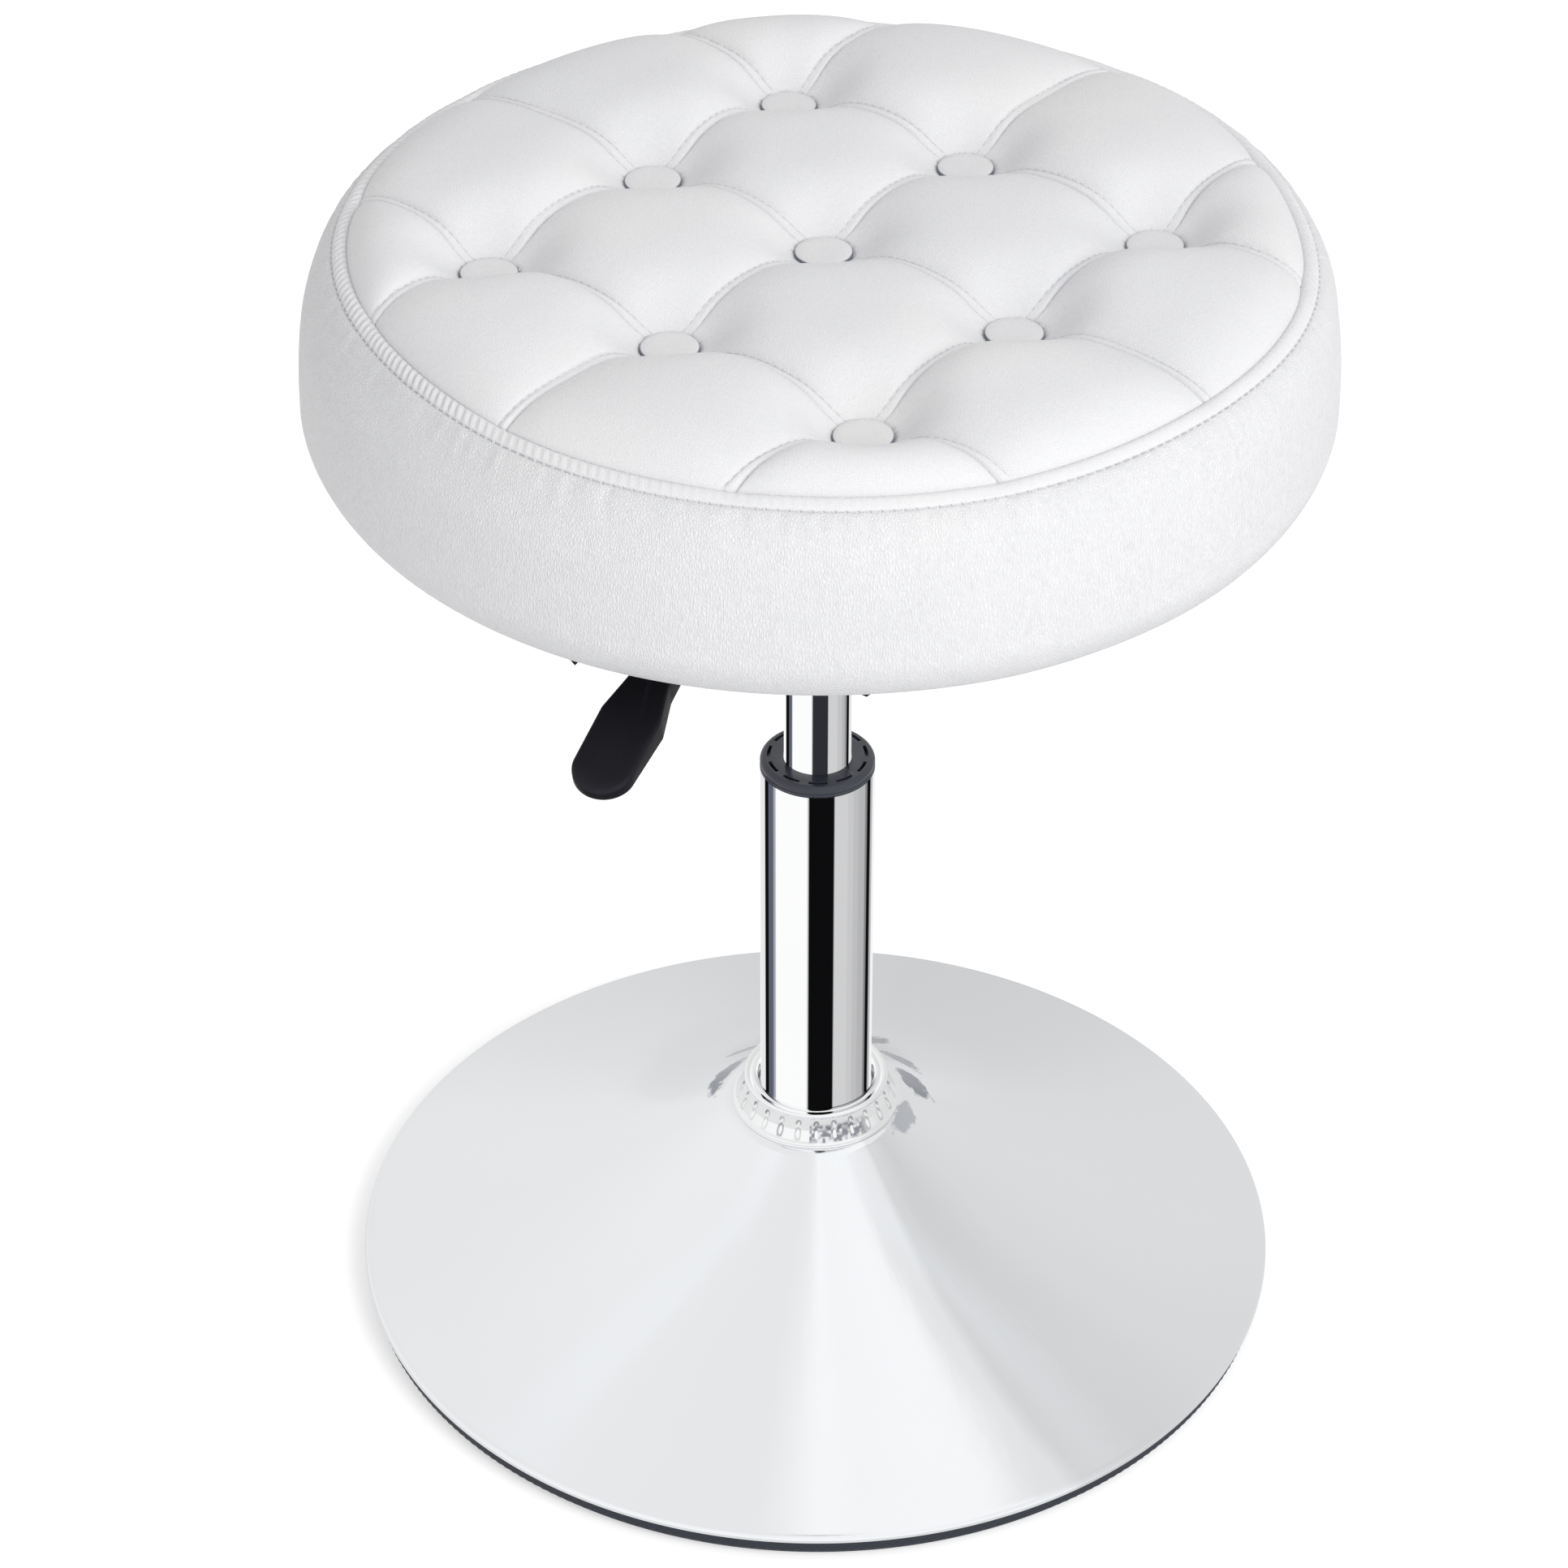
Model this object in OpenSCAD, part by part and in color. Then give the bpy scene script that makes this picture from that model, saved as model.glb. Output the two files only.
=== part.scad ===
// Swivel vanity stool: tufted round seat on a gas column with a trumpet base.
// Millimetres. Z is up, the floor is z = 0 and the column stands on the Z axis.
// The front of the stool faces -Y.

/* [Base] */
// Radius of the dish at its rim
dish_r = 200; // [180:1:230]
// Height of the dish where it meets the collar
dish_h = 86; // [76:1:100]
// Radius of the flat neck of the dish under the collar
dish_neck_r = 37; // [34:0.5:42]
// Sheet thickness of the dish
dish_t = 1.5; // [1:0.1:2.5]
// Radius of the rolled edge of the dish
dish_edge_r = 2; // [1.8:0.1:3]
// Height of the lower edge of the dish above the floor
dish_edge_z = 10.2; // [9:0.1:14]
// Radial width of the rubber ring on the floor
ring_w = 16; // [12:0.5:22]
// Thickness of the rubber ring under the weight plate
ring_t = 2.9; // [2:0.1:4]
// How far the foot of the rubber ring is drawn in
ring_draw = 4; // [2:0.1:6]
// Thickness of the steel weight plate
plate_t = 3; // [2:0.1:4]
// Outer radius of the socket tube welded into the base
socket_r = 28; // [27:0.25:30]
// Height that the socket stands above the neck of the dish
socket_rise = 5; // [3:0.5:8]

/* [Collar] */
// Height of the collar
collar_h = 14; // [12:0.1:20]
// Outer radius of the collar at its lip
collar_lip_r = 30.2; // [29.8:0.1:33]
// Inner radius of the collar at its lip
collar_bore_r = 27.5; // [26:0.1:27.8]
// Pairs of dimples round the collar
dimple_count = 26; // [18:1:30]
// Radius of one dimple
dimple_r = 1.5; // [1:0.1:1.8]

/* [Column] */
// Outer radius of the outer column
column_r = 24; // [23:0.1:25]
// Wall of the outer column
column_wall = 2; // [1.5:0.1:2.4]
// Height of the column's lower end above the floor
column_foot_z = 24; // [22:0.5:32]
// Length of the outer column
column_len = 236; // [210:1:280]
// How much the radius of the column narrows over its tapered foot
column_taper = 0.75; // [0.5:0.05:0.9]
// Length of the tapered foot of the column
column_taper_len = 60; // [45:1:64]
// Thickness of the cap ring that shows on top of the column
cap_t = 5; // [4:0.25:7]
// Depth of the cap ring's spigot inside the column
cap_spigot = 7; // [5:0.5:10]
// Recessed slots round the top of the cap ring
cap_slot_count = 11; // [8:1:12]
// Length of the plastic guide bush in the column
bush_len = 78; // [60:1:90]

/* [Gas lift] */
// Outer radius of the gas cylinder
cylinder_r = 14; // [13.5:0.1:14.5]
// Wall of the gas cylinder
cylinder_wall = 2; // [1.5:0.1:2.3]
// Clear height from the cap ring to the hub as the stool is stored
lift_h = 90; // [70:1:100]
// Length of the gas cylinder
cylinder_len = 225; // [215:1:240]
// Length of the tapered head of the cylinder
head_len = 50; // [46:0.5:60]
// How much the radius of the cylinder narrows over its head
head_taper = 0.8; // [0.5:0.05:1]
// Radius of the piston rod
rod_r = 5; // [4.5:0.1:5.5]
// Radius of the rod's foot that turns in the end plate
rod_foot_r = 4; // [3.6:0.1:4.3]
// Length of the piston
piston_len = 20; // [16:0.5:24]
// Length of the rubber bump stop on the rod
bump_len = 34; // [20:1:45]
// Radius of the release pin
pin_r = 4; // [3.5:0.1:4.5]
// Height that the release pin stands out of the cylinder
pin_rise = 7.4; // [6:0.1:8]

/* [Thrust bearing] */
// Radius of the ring of ball centres
ball_ring_r = 9.6; // [9:0.1:11]
// Radius of one ball
ball_r = 2; // [1.6:0.1:2.2]
// Number of balls
ball_count = 12; // [8:1:13]
// Thickness of each bearing race
race_t = 2; // [1.5:0.1:3]

/* [Seat mechanism] */
// Outer radius of the hub on the cylinder head
hub_r = 19; // [17:0.25:22]
// Height of the hub
hub_h = 45; // [40:0.5:48]
// Depth of the pressed pan in the mechanism plate
pan_h = 25.2; // [24:0.1:28]
// Radius of the floor of the pressed pan
pan_r = 40; // [38:0.5:45]
// Side of the square mechanism plate
mech_w = 170; // [155:1:200]
// Sheet thickness of the mechanism plate
mech_t = 2.5; // [2:0.1:3]
// Distance of each mounting bolt from the plate's centre lines
bolt_offset = 70; // [62:1:80]
// Radius of the mounting bolts
bolt_r = 3; // [2.5:0.25:3.5]

/* [Lever] */
// Direction that the lever points, seen from above
lever_azimuth = -115; // [-180:1:180]
// How far the lever slopes down towards its tip, in degrees
lever_slope = 12; // [10:0.5:13]
// Distance of the lever's tip from the column's axis
lever_reach = 202; // [185:1:210]
// Distance of the lever's pivot from the column's axis
lever_pivot_x = 28; // [26:0.5:30]
// Radius of the lever's steel rod
lever_rod_r = 4; // [3.5:0.1:4]
// Length of the grip
grip_len = 72; // [60:1:90]
// Width of the grip's neck
grip_neck_w = 17.5; // [15:0.5:22]
// Thickness of the grip's neck
grip_neck_t = 11; // [10.5:0.25:13]
// Length of the wide paddle at the end of the grip
paddle_len = 45; // [34:1:50]
// Width of the paddle
paddle_w = 25; // [23:0.5:34]
// Thickness of the paddle
paddle_t = 6.5; // [6:0.25:9]

/* [Seat] */
// Widest radius of the seat
seat_r = 203.6; // [196:0.1:215]
// Radius of the seam ring round the tufted top
seam_r = 184.3; // [180:0.1:188]
// Height of the side band from its underside to the seam ring
band_h = 82; // [70:0.5:95]
// Height of the widest place above the underside of the band
widest_h = 21; // [18:0.5:30]
// Thickness of the side band with its lining
band_t = 2.8; // [2:0.1:3.2]
// Radius where the band is turned flat under the board
under_r = 187; // [185:0.25:190]
// Inner radius of the band's hem under the board
hem_r = 170; // [160:1:175]
// Radius of the plywood board
board_r = 186; // [182:0.25:188]
// Thickness of the plywood board
board_t = 12; // [10:0.25:15]
// Thickness of the dust cover
dust_t = 0.6; // [0.4:0.1:1]
// Depth from the seam ring to the top of the foam
foam_drop = 11; // [9.5:0.25:14]
// Staples round the dust cover
staple_count = 24; // [16:1:32]

/* [Tufting] */
// Spacing of the covered buttons along each row
tuft_pitch = 92; // [86:0.5:94]
// Direction of the rows of buttons, seen from above
tuft_azimuth = -40; // [-90:1:90]
// Height of the middle of a panel above the seam ring
crown_h = 13; // [8:0.5:18]
// Drop from the middle of a panel to the middle of a seam
seam_drop = 8; // [5:0.25:10]
// Rise of the outer panels above a straight line to the seam ring
rim_bulge = 8; // [5:0.25:10]
// Rise of the outer seams above a straight line to the seam ring
seam_bulge = 6.5; // [4:0.25:8]
// Radius of a covered button
button_r = 10.9; // [9:0.1:12]
// Thickness of a covered button at its middle
button_t = 4.8; // [4:0.1:7]
// Depth of a button's seat below the seam ring
button_drop = 7.3; // [5:0.1:8.5]
// Radius of the twine that holds the buttons
twine_r = 0.8; // [0.6:0.1:1.2]

/* [Hidden] */
$fn = 96;

// Clearances: stacked parts, bores round fixed parts, running fits, and overrun of cuts
lay_gap = 0.1;
slip_gap = 0.05;
loose_gap = 0.3;
cut = 1;

// Floor ring and weight plate
plate_z = ring_t + lay_gap;
ring_outer_r = dish_r - dish_t / 2;
ring_inner_r = ring_outer_r - ring_w;
ring_top_z = dish_edge_z - lay_gap;
plate_r = ring_inner_r + ring_w / 3;

// Dish: a trumpet curve that is steep at the neck and shallow at the rim
rim_r = dish_r - dish_edge_r;
rim_z = dish_edge_z + dish_edge_r + dish_t / 4;
dish_steps = 14;
dish_line_share = 0.466;
dish_curve_power = 2.6;
edge_steps = 6;
dish_hole_r = socket_r + loose_gap;

// Socket and column
socket_top_z = dish_h + socket_rise;
column_bore_r = column_r - column_wall;
column_top_z = column_foot_z + column_len;
taper_top_z = column_foot_z + column_taper_len;
end_plate_t = 4;
cap_z = column_top_z + cap_t;
cap_round = cap_t / 5;
cap_slot_r = column_r - 0.17 * column_r;
cap_slot_len = 0.31 * column_r;
cap_slot_w = 0.07 * column_r;
bush_top_z = column_top_z - cap_spigot - loose_gap;

// Collar
collar_z = dish_h + loose_gap;
collar_top_z = collar_z + collar_h;
collar_lip_t = collar_h / 5;
dimple_low_z = collar_z + 0.42 * collar_h;
dimple_high_z = collar_z + 0.68 * collar_h;

// Thrust bearing on the column's end plate
race_in_r = ball_ring_r - 0.34 * ball_ring_r;
race_out_r = ball_ring_r + 0.36 * ball_ring_r;
lower_race_z = column_foot_z + end_plate_t;
ball_gap = 0.03;
ball_z = lower_race_z + race_t + ball_gap + ball_r;
upper_race_z = ball_z + ball_r + ball_gap;
rod_shoulder_z = upper_race_z + race_t;
cage_t = 0.8 * ball_r;
washer_t = 1.1;
clip_t = 1.2;
clip_z = column_foot_z - washer_t - clip_t;
groove_r = 0.75 * rod_foot_r;
rod_foot_z = clip_z - 3 * clip_t;

// Gas lift
hub_z = cap_z + lift_h;
pan_z = hub_z + hub_h;
head_rise = 6;
cylinder_top_z = pan_z + head_rise;
cylinder_z = cylinder_top_z - cylinder_len;
head_z = cylinder_top_z - head_len;
head_r = cylinder_r - head_taper;
chamber_r = cylinder_r - cylinder_wall;
chamber_roof_z = cylinder_top_z - 0.64 * head_len;
guide_len = 1.8 * chamber_r;
guide_top_z = cylinder_z + guide_len;
piston_z = guide_top_z + 35;
piston_top_z = piston_z + piston_len;
seal_r = chamber_r / 11;
seal_ring_r = chamber_r - slip_gap - seal_r;
valve_hole_r = pin_r / 3;
pin_bore_z = chamber_roof_z + valve_hole_r * 4;
pin_top_z = cylinder_top_z + pin_rise;
pin_foot_z = pin_bore_z + pin_r;
bump_r = 2.2 * rod_r;

// Mechanism plate and seat stack
mech_z = pan_z + pan_h - mech_t;
mech_top_z = mech_z + mech_t;
pan_rim_r = pan_r + pan_h / 3;
mech_corner_r = mech_w / 14;
dust_z = mech_top_z + lay_gap;
dust_r = under_r - 2 * lay_gap;
dust_hole_r = pan_rim_r + 2 * mech_t;
band_z = dust_z + dust_t + lay_gap;
board_z = band_z + band_t + 2 * lay_gap;
board_top_z = board_z + board_t;
widest_z = band_z + widest_h;
seam_z = band_z + band_h;
foam_z = board_top_z;
foam_top_z = seam_z - foam_drop - loose_gap;
panel_z = seam_z - foam_drop;

// Bolts: hex heads under washers, threaded into tee nuts in the board
bolt_head_r = 1.85 * bolt_r;
bolt_head_t = 1.33 * bolt_r;
bolt_washer_r = 2.3 * bolt_r;
bolt_washer_t = 0.4 * bolt_r;
bolt_washer_z = mech_z - lay_gap - bolt_washer_t;
tee_barrel_r = 1.4 * bolt_r;
tee_flange_r = 3.2 * bolt_r;
tee_flange_t = 0.4 * bolt_r;
bolt_hole_r = bolt_r + loose_gap;

// Lever: a straight rod on a cross pin in two ears of the pan
grip_axis_z = pin_top_z - loose_gap / 3 + lever_rod_r / cos(lever_slope)
    + pin_r * tan(lever_slope) + loose_gap;
lever_pivot_z = grip_axis_z - lever_pivot_x * tan(lever_slope);
lever_tail = 2 * pin_r;
pivot_r = lever_rod_r / 2;
pivot_boss_r = 1.2 * lever_rod_r;
pivot_boss_w = 2.5 * lever_rod_r;
ear_gap = pivot_boss_w / 2 + loose_gap;
ear_t = 2.5;
ear_w = 3 * lever_rod_r;
ear_top_z = lever_pivot_z + ear_w / 2 - pivot_r / 2;
pivot_len = 2 * (ear_gap + ear_t) + pivot_r;
lever_slot_w = 3 * lever_rod_r;
lever_slot_z = pan_z + mech_t + slip_gap;
lever_slot_h = 3.25 * lever_rod_r;
grip_tip_s = (lever_reach - lever_pivot_x) / cos(lever_slope);
grip_start_s = grip_tip_s - grip_len;
paddle_start_s = grip_tip_s - paddle_len;
rod_end_s = paddle_start_s - loose_gap;
rod_start_s = -(lever_pivot_x + lever_tail) / cos(lever_slope);
shoulder_len = paddle_len / 6;

// Tufting: seams follow a square lattice of buttons, and the outer panels reach the seam ring
pit_flat_r = button_r + 2 * loose_gap;
cell_steps = [
    0, pit_flat_r, 0.3 * tuft_pitch, 0.5 * tuft_pitch,
    0.7 * tuft_pitch, tuft_pitch - pit_flat_r, tuft_pitch
];
row_shares = [0, 0.18, 0.38, 0.59, 0.77, 0.91, 1];
cell_n = len(cell_steps) - 1;
row_n = len(row_shares);
lattice_n = 2 * cell_n + 1;
lattice_steps = concat(
    [for (i = [cell_n : -1 : 1]) -cell_steps[i]],
    cell_steps
);
patch_count = 12;
column_n = patch_count * cell_n;
button_places = [for (i = [-1 : 1]) for (j = [-1 : 1]) [i * tuft_pitch, j * tuft_pitch]];
button_z = seam_z - button_drop + loose_gap;
pit_z = seam_z - button_drop;
pit_w = 0.85 * button_r;
corner_relief = 0.375 * seam_drop;
tie_washer_r = 6;
tie_washer_t = 2;
tie_pocket_h = 1.5 * tie_washer_t;
tie_hole_r = twine_r + slip_gap;

// Staples
staple_w = 10;
staple_t = 0.6;
staple_leg = 8;
staple_ring_r = (hem_r + under_r) / 2;

// Side band outline: two superellipse quarters, drawn in at the seam and at the underside
band_up_power = 2.37;
band_low_power = 1.65;
band_steps = 9;
function bow(a, power) = [pow(cos(a), 2 / power), pow(sin(a), 2 / power)];
function band_upper(inset) = [
    for (i = [0 : band_steps])
        let (q = bow(90 - 90 * i / band_steps, band_up_power))
        [seam_r + (seat_r - inset - seam_r) * q[0], widest_z + (seam_z - inset - widest_z) * q[1]]
];
function band_lower(inset) = [
    for (i = [1 : band_steps])
        let (q = bow(90 * i / band_steps, band_low_power))
        [under_r + (seat_r - inset - under_r) * q[0], widest_z - (widest_z - band_z - inset) * q[1]]
];
function reversed(list) = [for (i = [len(list) - 1 : -1 : 0]) list[i]];

// Dish outline from the neck to the rim
function dish_rise(u) = dish_line_share * u + (1 - dish_line_share) * pow(u, dish_curve_power);
function dish_curve(drop) = [
    for (i = [0 : dish_steps])
        let (u = 1 - i / dish_steps)
        [rim_r + (dish_neck_r - rim_r) * u, rim_z + (dish_h - rim_z) * dish_rise(u) - drop]
];
function edge_arc(radius) = [
    for (i = [1 : edge_steps])
        let (a = 90 - 90 * i / edge_steps)
        [rim_r + radius * cos(a), rim_z - dish_edge_r + radius * sin(a)]
];

// Height of the tufted top above z = 0, in the frame of the seams
function nearest_button(p) =
    min([for (b = button_places) max(abs(p[0] - b[0]), abs(p[1] - b[1]))]);
function pit_share(p) =
    let (d = max(0, nearest_button(p) - pit_flat_r))
    1 - exp(-pow(d / pit_w, 2));
function sunk(p, z) = pit_z + (z - pit_z) * pit_share(p);
function across(share) = abs(2 * share - 1);
function inner_height(x, y) = seam_z + crown_h - seam_drop * (x * x + y * y)
    + corner_relief * x * x * y * y;
function outer_height(f, g, corner) =
    let (
        x = across(f),
        edge = corner ? inner_height(1, 1) : inner_height(x, 1),
        bulge = rim_bulge + (seam_bulge - rim_bulge) * x * x
    )
    seam_z + (edge - seam_z) * (1 - g) + bulge * (1 - pow(across(g), 4));

// Lattice points of the four inner panels
function lattice_point(i, j) =
    let (
        p = [lattice_steps[i], lattice_steps[j]],
        x = across(abs(lattice_steps[i]) / tuft_pitch),
        y = across(abs(lattice_steps[j]) / tuft_pitch)
    )
    [p[0], p[1], sunk(p, inner_height(x, y))];
function lattice_index(ij) = ij[0] * lattice_n + ij[1];
function quarter_turn(ij, times) =
    times == 0 ? ij : quarter_turn([lattice_n - 1 - ij[1], ij[0]], times - 1);

// Columns of the twelve outer panels: each starts on the lattice and ends on the seam ring
function patch_of(c) = floor(c / cell_n);
function is_corner(c) = patch_of(c) % 3 == 1;
function start_ij(c) =
    let (
        k = patch_of(c) % 3,
        q = c % cell_n,
        far = lattice_n - 1,
        first = k == 0 ? [far, cell_n + q] : k == 1 ? [far, far] : [far - q, far]
    )
    quarter_turn(first, floor(c / (3 * cell_n)));
function start_point(c) =
    let (ij = start_ij(c))
    [lattice_steps[ij[0]], lattice_steps[ij[1]]];
function seam_point(c) =
    let (a = 360 * c / column_n)
    seam_r * [cos(a), sin(a)];
function column_share(c) =
    let (q = c % cell_n)
    (patch_of(c) % 3 == 2 ? cell_steps[cell_n - q] : cell_steps[q]) / tuft_pitch;
function column_point(c, row_share) =
    let (
        way = seam_point(c) - start_point(c),
        first = pit_flat_r / norm(way),
        g = first + (1 - first) * row_share,
        p = start_point(c) + way * g,
        z = outer_height(column_share(c), g, is_corner(c))
    )
    [p[0], p[1], row_share == 1 ? seam_z : sunk(p, z)];
lattice_points = [for (i = [0 : lattice_n - 1]) for (j = [0 : lattice_n - 1]) lattice_point(i, j)];
row_points = [for (share = row_shares) for (c = [0 : column_n - 1]) column_point(c, share)];
foot_points = [for (c = [0 : column_n - 1]) let (p = seam_point(c)) [p[0], p[1], panel_z]];
function row_index(k, c) = k == 0
    ? lattice_index(start_ij(c % column_n))
    : len(lattice_points) + (k - 1) * column_n + c % column_n;
function two_faces(a, b, c, d) = a == b ? [[a, c, d]] : [[a, b, c], [a, c, d]];
lattice_faces = [
    for (i = [0 : lattice_n - 2])
        for (j = [0 : lattice_n - 2])
            each two_faces(
                lattice_index([i, j]), lattice_index([i, j + 1]),
                lattice_index([i + 1, j + 1]), lattice_index([i + 1, j])
            )
];
row_faces = [
    for (k = [0 : row_n])
        for (c = [0 : column_n - 1])
            each two_faces(
                row_index(k, c), row_index(k, c + 1),
                row_index(k + 1, c + 1), row_index(k + 1, c)
            )
];
foot_face = [[for (c = [0 : column_n - 1]) row_index(row_n + 1, c)]];

// Shared shapes
module tube(outer, inner, z, h) {
    translate([0, 0, z])
        difference() {
            cylinder(r = outer, h = h);
            translate([0, 0, -cut])
                cylinder(r = inner, h = h + 2 * cut);
        }
}
module round_plate(w, corner, h) {
    linear_extrude(h) {
        square([w - 2 * corner, w], center = true);
        square([w, w - 2 * corner], center = true);
        for (x = [-1, 1])
            for (y = [-1, 1])
                translate([x * (w / 2 - corner), y * (w / 2 - corner)])
                    circle(r = corner);
    }
}
module at_lever() {
    rotate([0, 0, lever_azimuth])
        children();
}
module at_lever_pivot() {
    at_lever()
        translate([lever_pivot_x, 0, lever_pivot_z])
            rotate([0, lever_slope, 0])
                children();
}
module at_bolts() {
    at_lever()
        for (x = [-1, 1])
            for (y = [-1, 1])
                translate([x * bolt_offset, y * bolt_offset, 0])
                    children();
}
module at_buttons() {
    rotate([0, 0, tuft_azimuth])
        for (p = button_places)
            translate([p[0], p[1], 0])
                children();
}

// Rubber ring that stands on the floor, clipped over the edge of the weight plate
module floor_ring() {
    color("#2b2f3a")
        rotate_extrude()
            polygon([
                [ring_inner_r, 0],
                [ring_outer_r - ring_draw, 0],
                [ring_outer_r - ring_draw / 4, ring_top_z / 3],
                [ring_outer_r, ring_top_z],
                [ring_inner_r, ring_top_z],
                [ring_inner_r, plate_z + plate_t + lay_gap],
                [plate_r + lay_gap, plate_z + plate_t + lay_gap],
                [plate_r + lay_gap, ring_t],
                [ring_inner_r, ring_t]
            ]);
}

// Steel plate that weighs the base down
module weight_plate() {
    color("#8b8f94")
        tube(plate_r, socket_r + slip_gap, plate_z, plate_t);
}

// Chromed pressed dish with a flat neck and a rolled rim
module base_dish() {
    color("#dfe3e8")
        rotate_extrude()
            polygon(concat(
                [[dish_hole_r, dish_h - dish_t], [dish_hole_r, dish_h]],
                dish_curve(0),
                edge_arc(dish_edge_r),
                [[dish_r, dish_edge_z], [dish_r - dish_t, dish_edge_z]],
                reversed(edge_arc(dish_edge_r - dish_t)),
                reversed(dish_curve(dish_t))
            ));
}

// Socket tube with the tapered bore that holds the column
module base_socket() {
    color("#9a9ea3")
        difference() {
            translate([0, 0, plate_z])
                cylinder(r = socket_r, h = socket_top_z - plate_z);
            translate([0, 0, column_foot_z])
                cylinder(
                    r1 = column_r - column_taper + slip_gap,
                    r2 = column_r + slip_gap,
                    h = column_taper_len
                );
            translate([0, 0, plate_z - cut])
                cylinder(r = column_r - column_taper + slip_gap, h = column_foot_z - plate_z + 2 * cut);
            translate([0, 0, taper_top_z - slip_gap])
                cylinder(r = column_r + slip_gap, h = socket_top_z - taper_top_z + cut);
        }
}

// Dimpled collar that covers the top of the socket
module base_collar() {
    color("#cfd4da")
        difference() {
            rotate_extrude()
                polygon([
                    [socket_r + loose_gap, collar_z],
                    [dish_neck_r, collar_z],
                    [dish_neck_r, collar_z + collar_lip_t / 2],
                    [dish_neck_r - collar_lip_t / 2, collar_z + collar_lip_t],
                    [collar_lip_r + collar_lip_t / 2, collar_z + collar_h / 2],
                    [collar_lip_r, collar_top_z - collar_lip_t],
                    [collar_lip_r, collar_top_z - collar_lip_t / 3],
                    [collar_lip_r - collar_lip_t / 3, collar_top_z],
                    [collar_bore_r + collar_lip_t / 3, collar_top_z],
                    [collar_bore_r, collar_top_z - collar_lip_t / 3],
                    [collar_bore_r, collar_top_z - collar_lip_t],
                    [socket_r + loose_gap, collar_top_z - 4 / 3 * collar_lip_t]
                ]);
            for (i = [0 : dimple_count - 1])
                rotate([0, 0, 360 * (i + 0.5) / dimple_count]) {
                    translate([collar_lip_r + 0.95 * collar_lip_t, 0, dimple_low_z])
                        sphere(r = dimple_r);
                    translate([collar_lip_r + dimple_r / 2, 0, dimple_high_z])
                        sphere(r = dimple_r);
                }
        }
}

// Chromed outer column with its tapered foot
module outer_column() {
    color("#e6e9ee")
        difference() {
            union() {
                translate([0, 0, column_foot_z])
                    cylinder(r1 = column_r - column_taper, r2 = column_r, h = column_taper_len);
                translate([0, 0, taper_top_z])
                    cylinder(r = column_r, h = column_top_z - taper_top_z);
            }
            translate([0, 0, column_foot_z - cut])
                cylinder(r = column_bore_r, h = column_len + 2 * cut);
        }
}

// Plate welded into the foot of the column, with the bore that the rod turns in
module column_end_plate() {
    color("#8b8f94")
        tube(column_bore_r - slip_gap, rod_foot_r + slip_gap, column_foot_z, end_plate_t);
}

// Plastic sleeve that guides the gas cylinder
module guide_bush() {
    color("#e8e4d8")
        tube(column_bore_r - slip_gap, cylinder_r + slip_gap, bush_top_z - bush_len, bush_len);
}

// Dark cap ring that closes the top of the column, with recessed slots
module column_cap_ring() {
    color("#3c404a")
        difference() {
            rotate_extrude()
                polygon([
                    [cylinder_r + loose_gap, column_top_z - cap_spigot],
                    [column_bore_r - slip_gap, column_top_z - cap_spigot],
                    [column_bore_r - slip_gap, column_top_z + slip_gap],
                    [column_r + loose_gap, column_top_z + slip_gap],
                    [column_r + loose_gap, cap_z - cap_round],
                    [column_r + loose_gap - cap_round, cap_z],
                    [cylinder_r + loose_gap + cap_round, cap_z],
                    [cylinder_r + loose_gap, cap_z - cap_round]
                ]);
            for (i = [0 : cap_slot_count - 1])
                rotate([0, 0, -90 + 360 * i / cap_slot_count])
                    translate([cap_slot_r - cap_slot_w / 2, -cap_slot_len / 2, cap_z - cap_t / 2])
                        cube([cap_slot_w, cap_slot_len, cap_t]);
        }
}

// Thrust bearing under the rod's shoulder
module bearing_lower_race() {
    color("#b9bdc2")
        tube(race_out_r, race_in_r, lower_race_z, race_t);
}
module bearing_balls() {
    color("#dadde0")
        for (i = [0 : ball_count - 1])
            rotate([0, 0, 360 * i / ball_count])
                translate([ball_ring_r, 0, ball_z])
                    sphere(r = ball_r);
}
module bearing_cage() {
    color("#b58a3c")
        difference() {
            tube(race_out_r - loose_gap, race_in_r, ball_z - cage_t / 2, cage_t);
            for (i = [0 : ball_count - 1])
                rotate([0, 0, 360 * i / ball_count])
                    translate([ball_ring_r, 0, ball_z - cage_t])
                        cylinder(r = ball_r + slip_gap, h = 2 * cage_t);
        }
}
module bearing_upper_race() {
    color("#b9bdc2")
        tube(race_out_r, rod_foot_r + slip_gap, upper_race_z, race_t);
}

// Washer and spring clip that keep the rod in the end plate
module rod_washer() {
    color("#b9bdc2")
        tube(2 * rod_foot_r, rod_foot_r + slip_gap, column_foot_z - washer_t, washer_t - lay_gap);
}
module rod_clip() {
    color("#5a5d62")
        difference() {
            tube(1.7 * rod_foot_r, groove_r + slip_gap, clip_z, clip_t - lay_gap);
            translate([0, -groove_r, clip_z - cut])
                cube([2 * rod_foot_r, 2 * groove_r, clip_t + 2 * cut]);
        }
}

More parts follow.
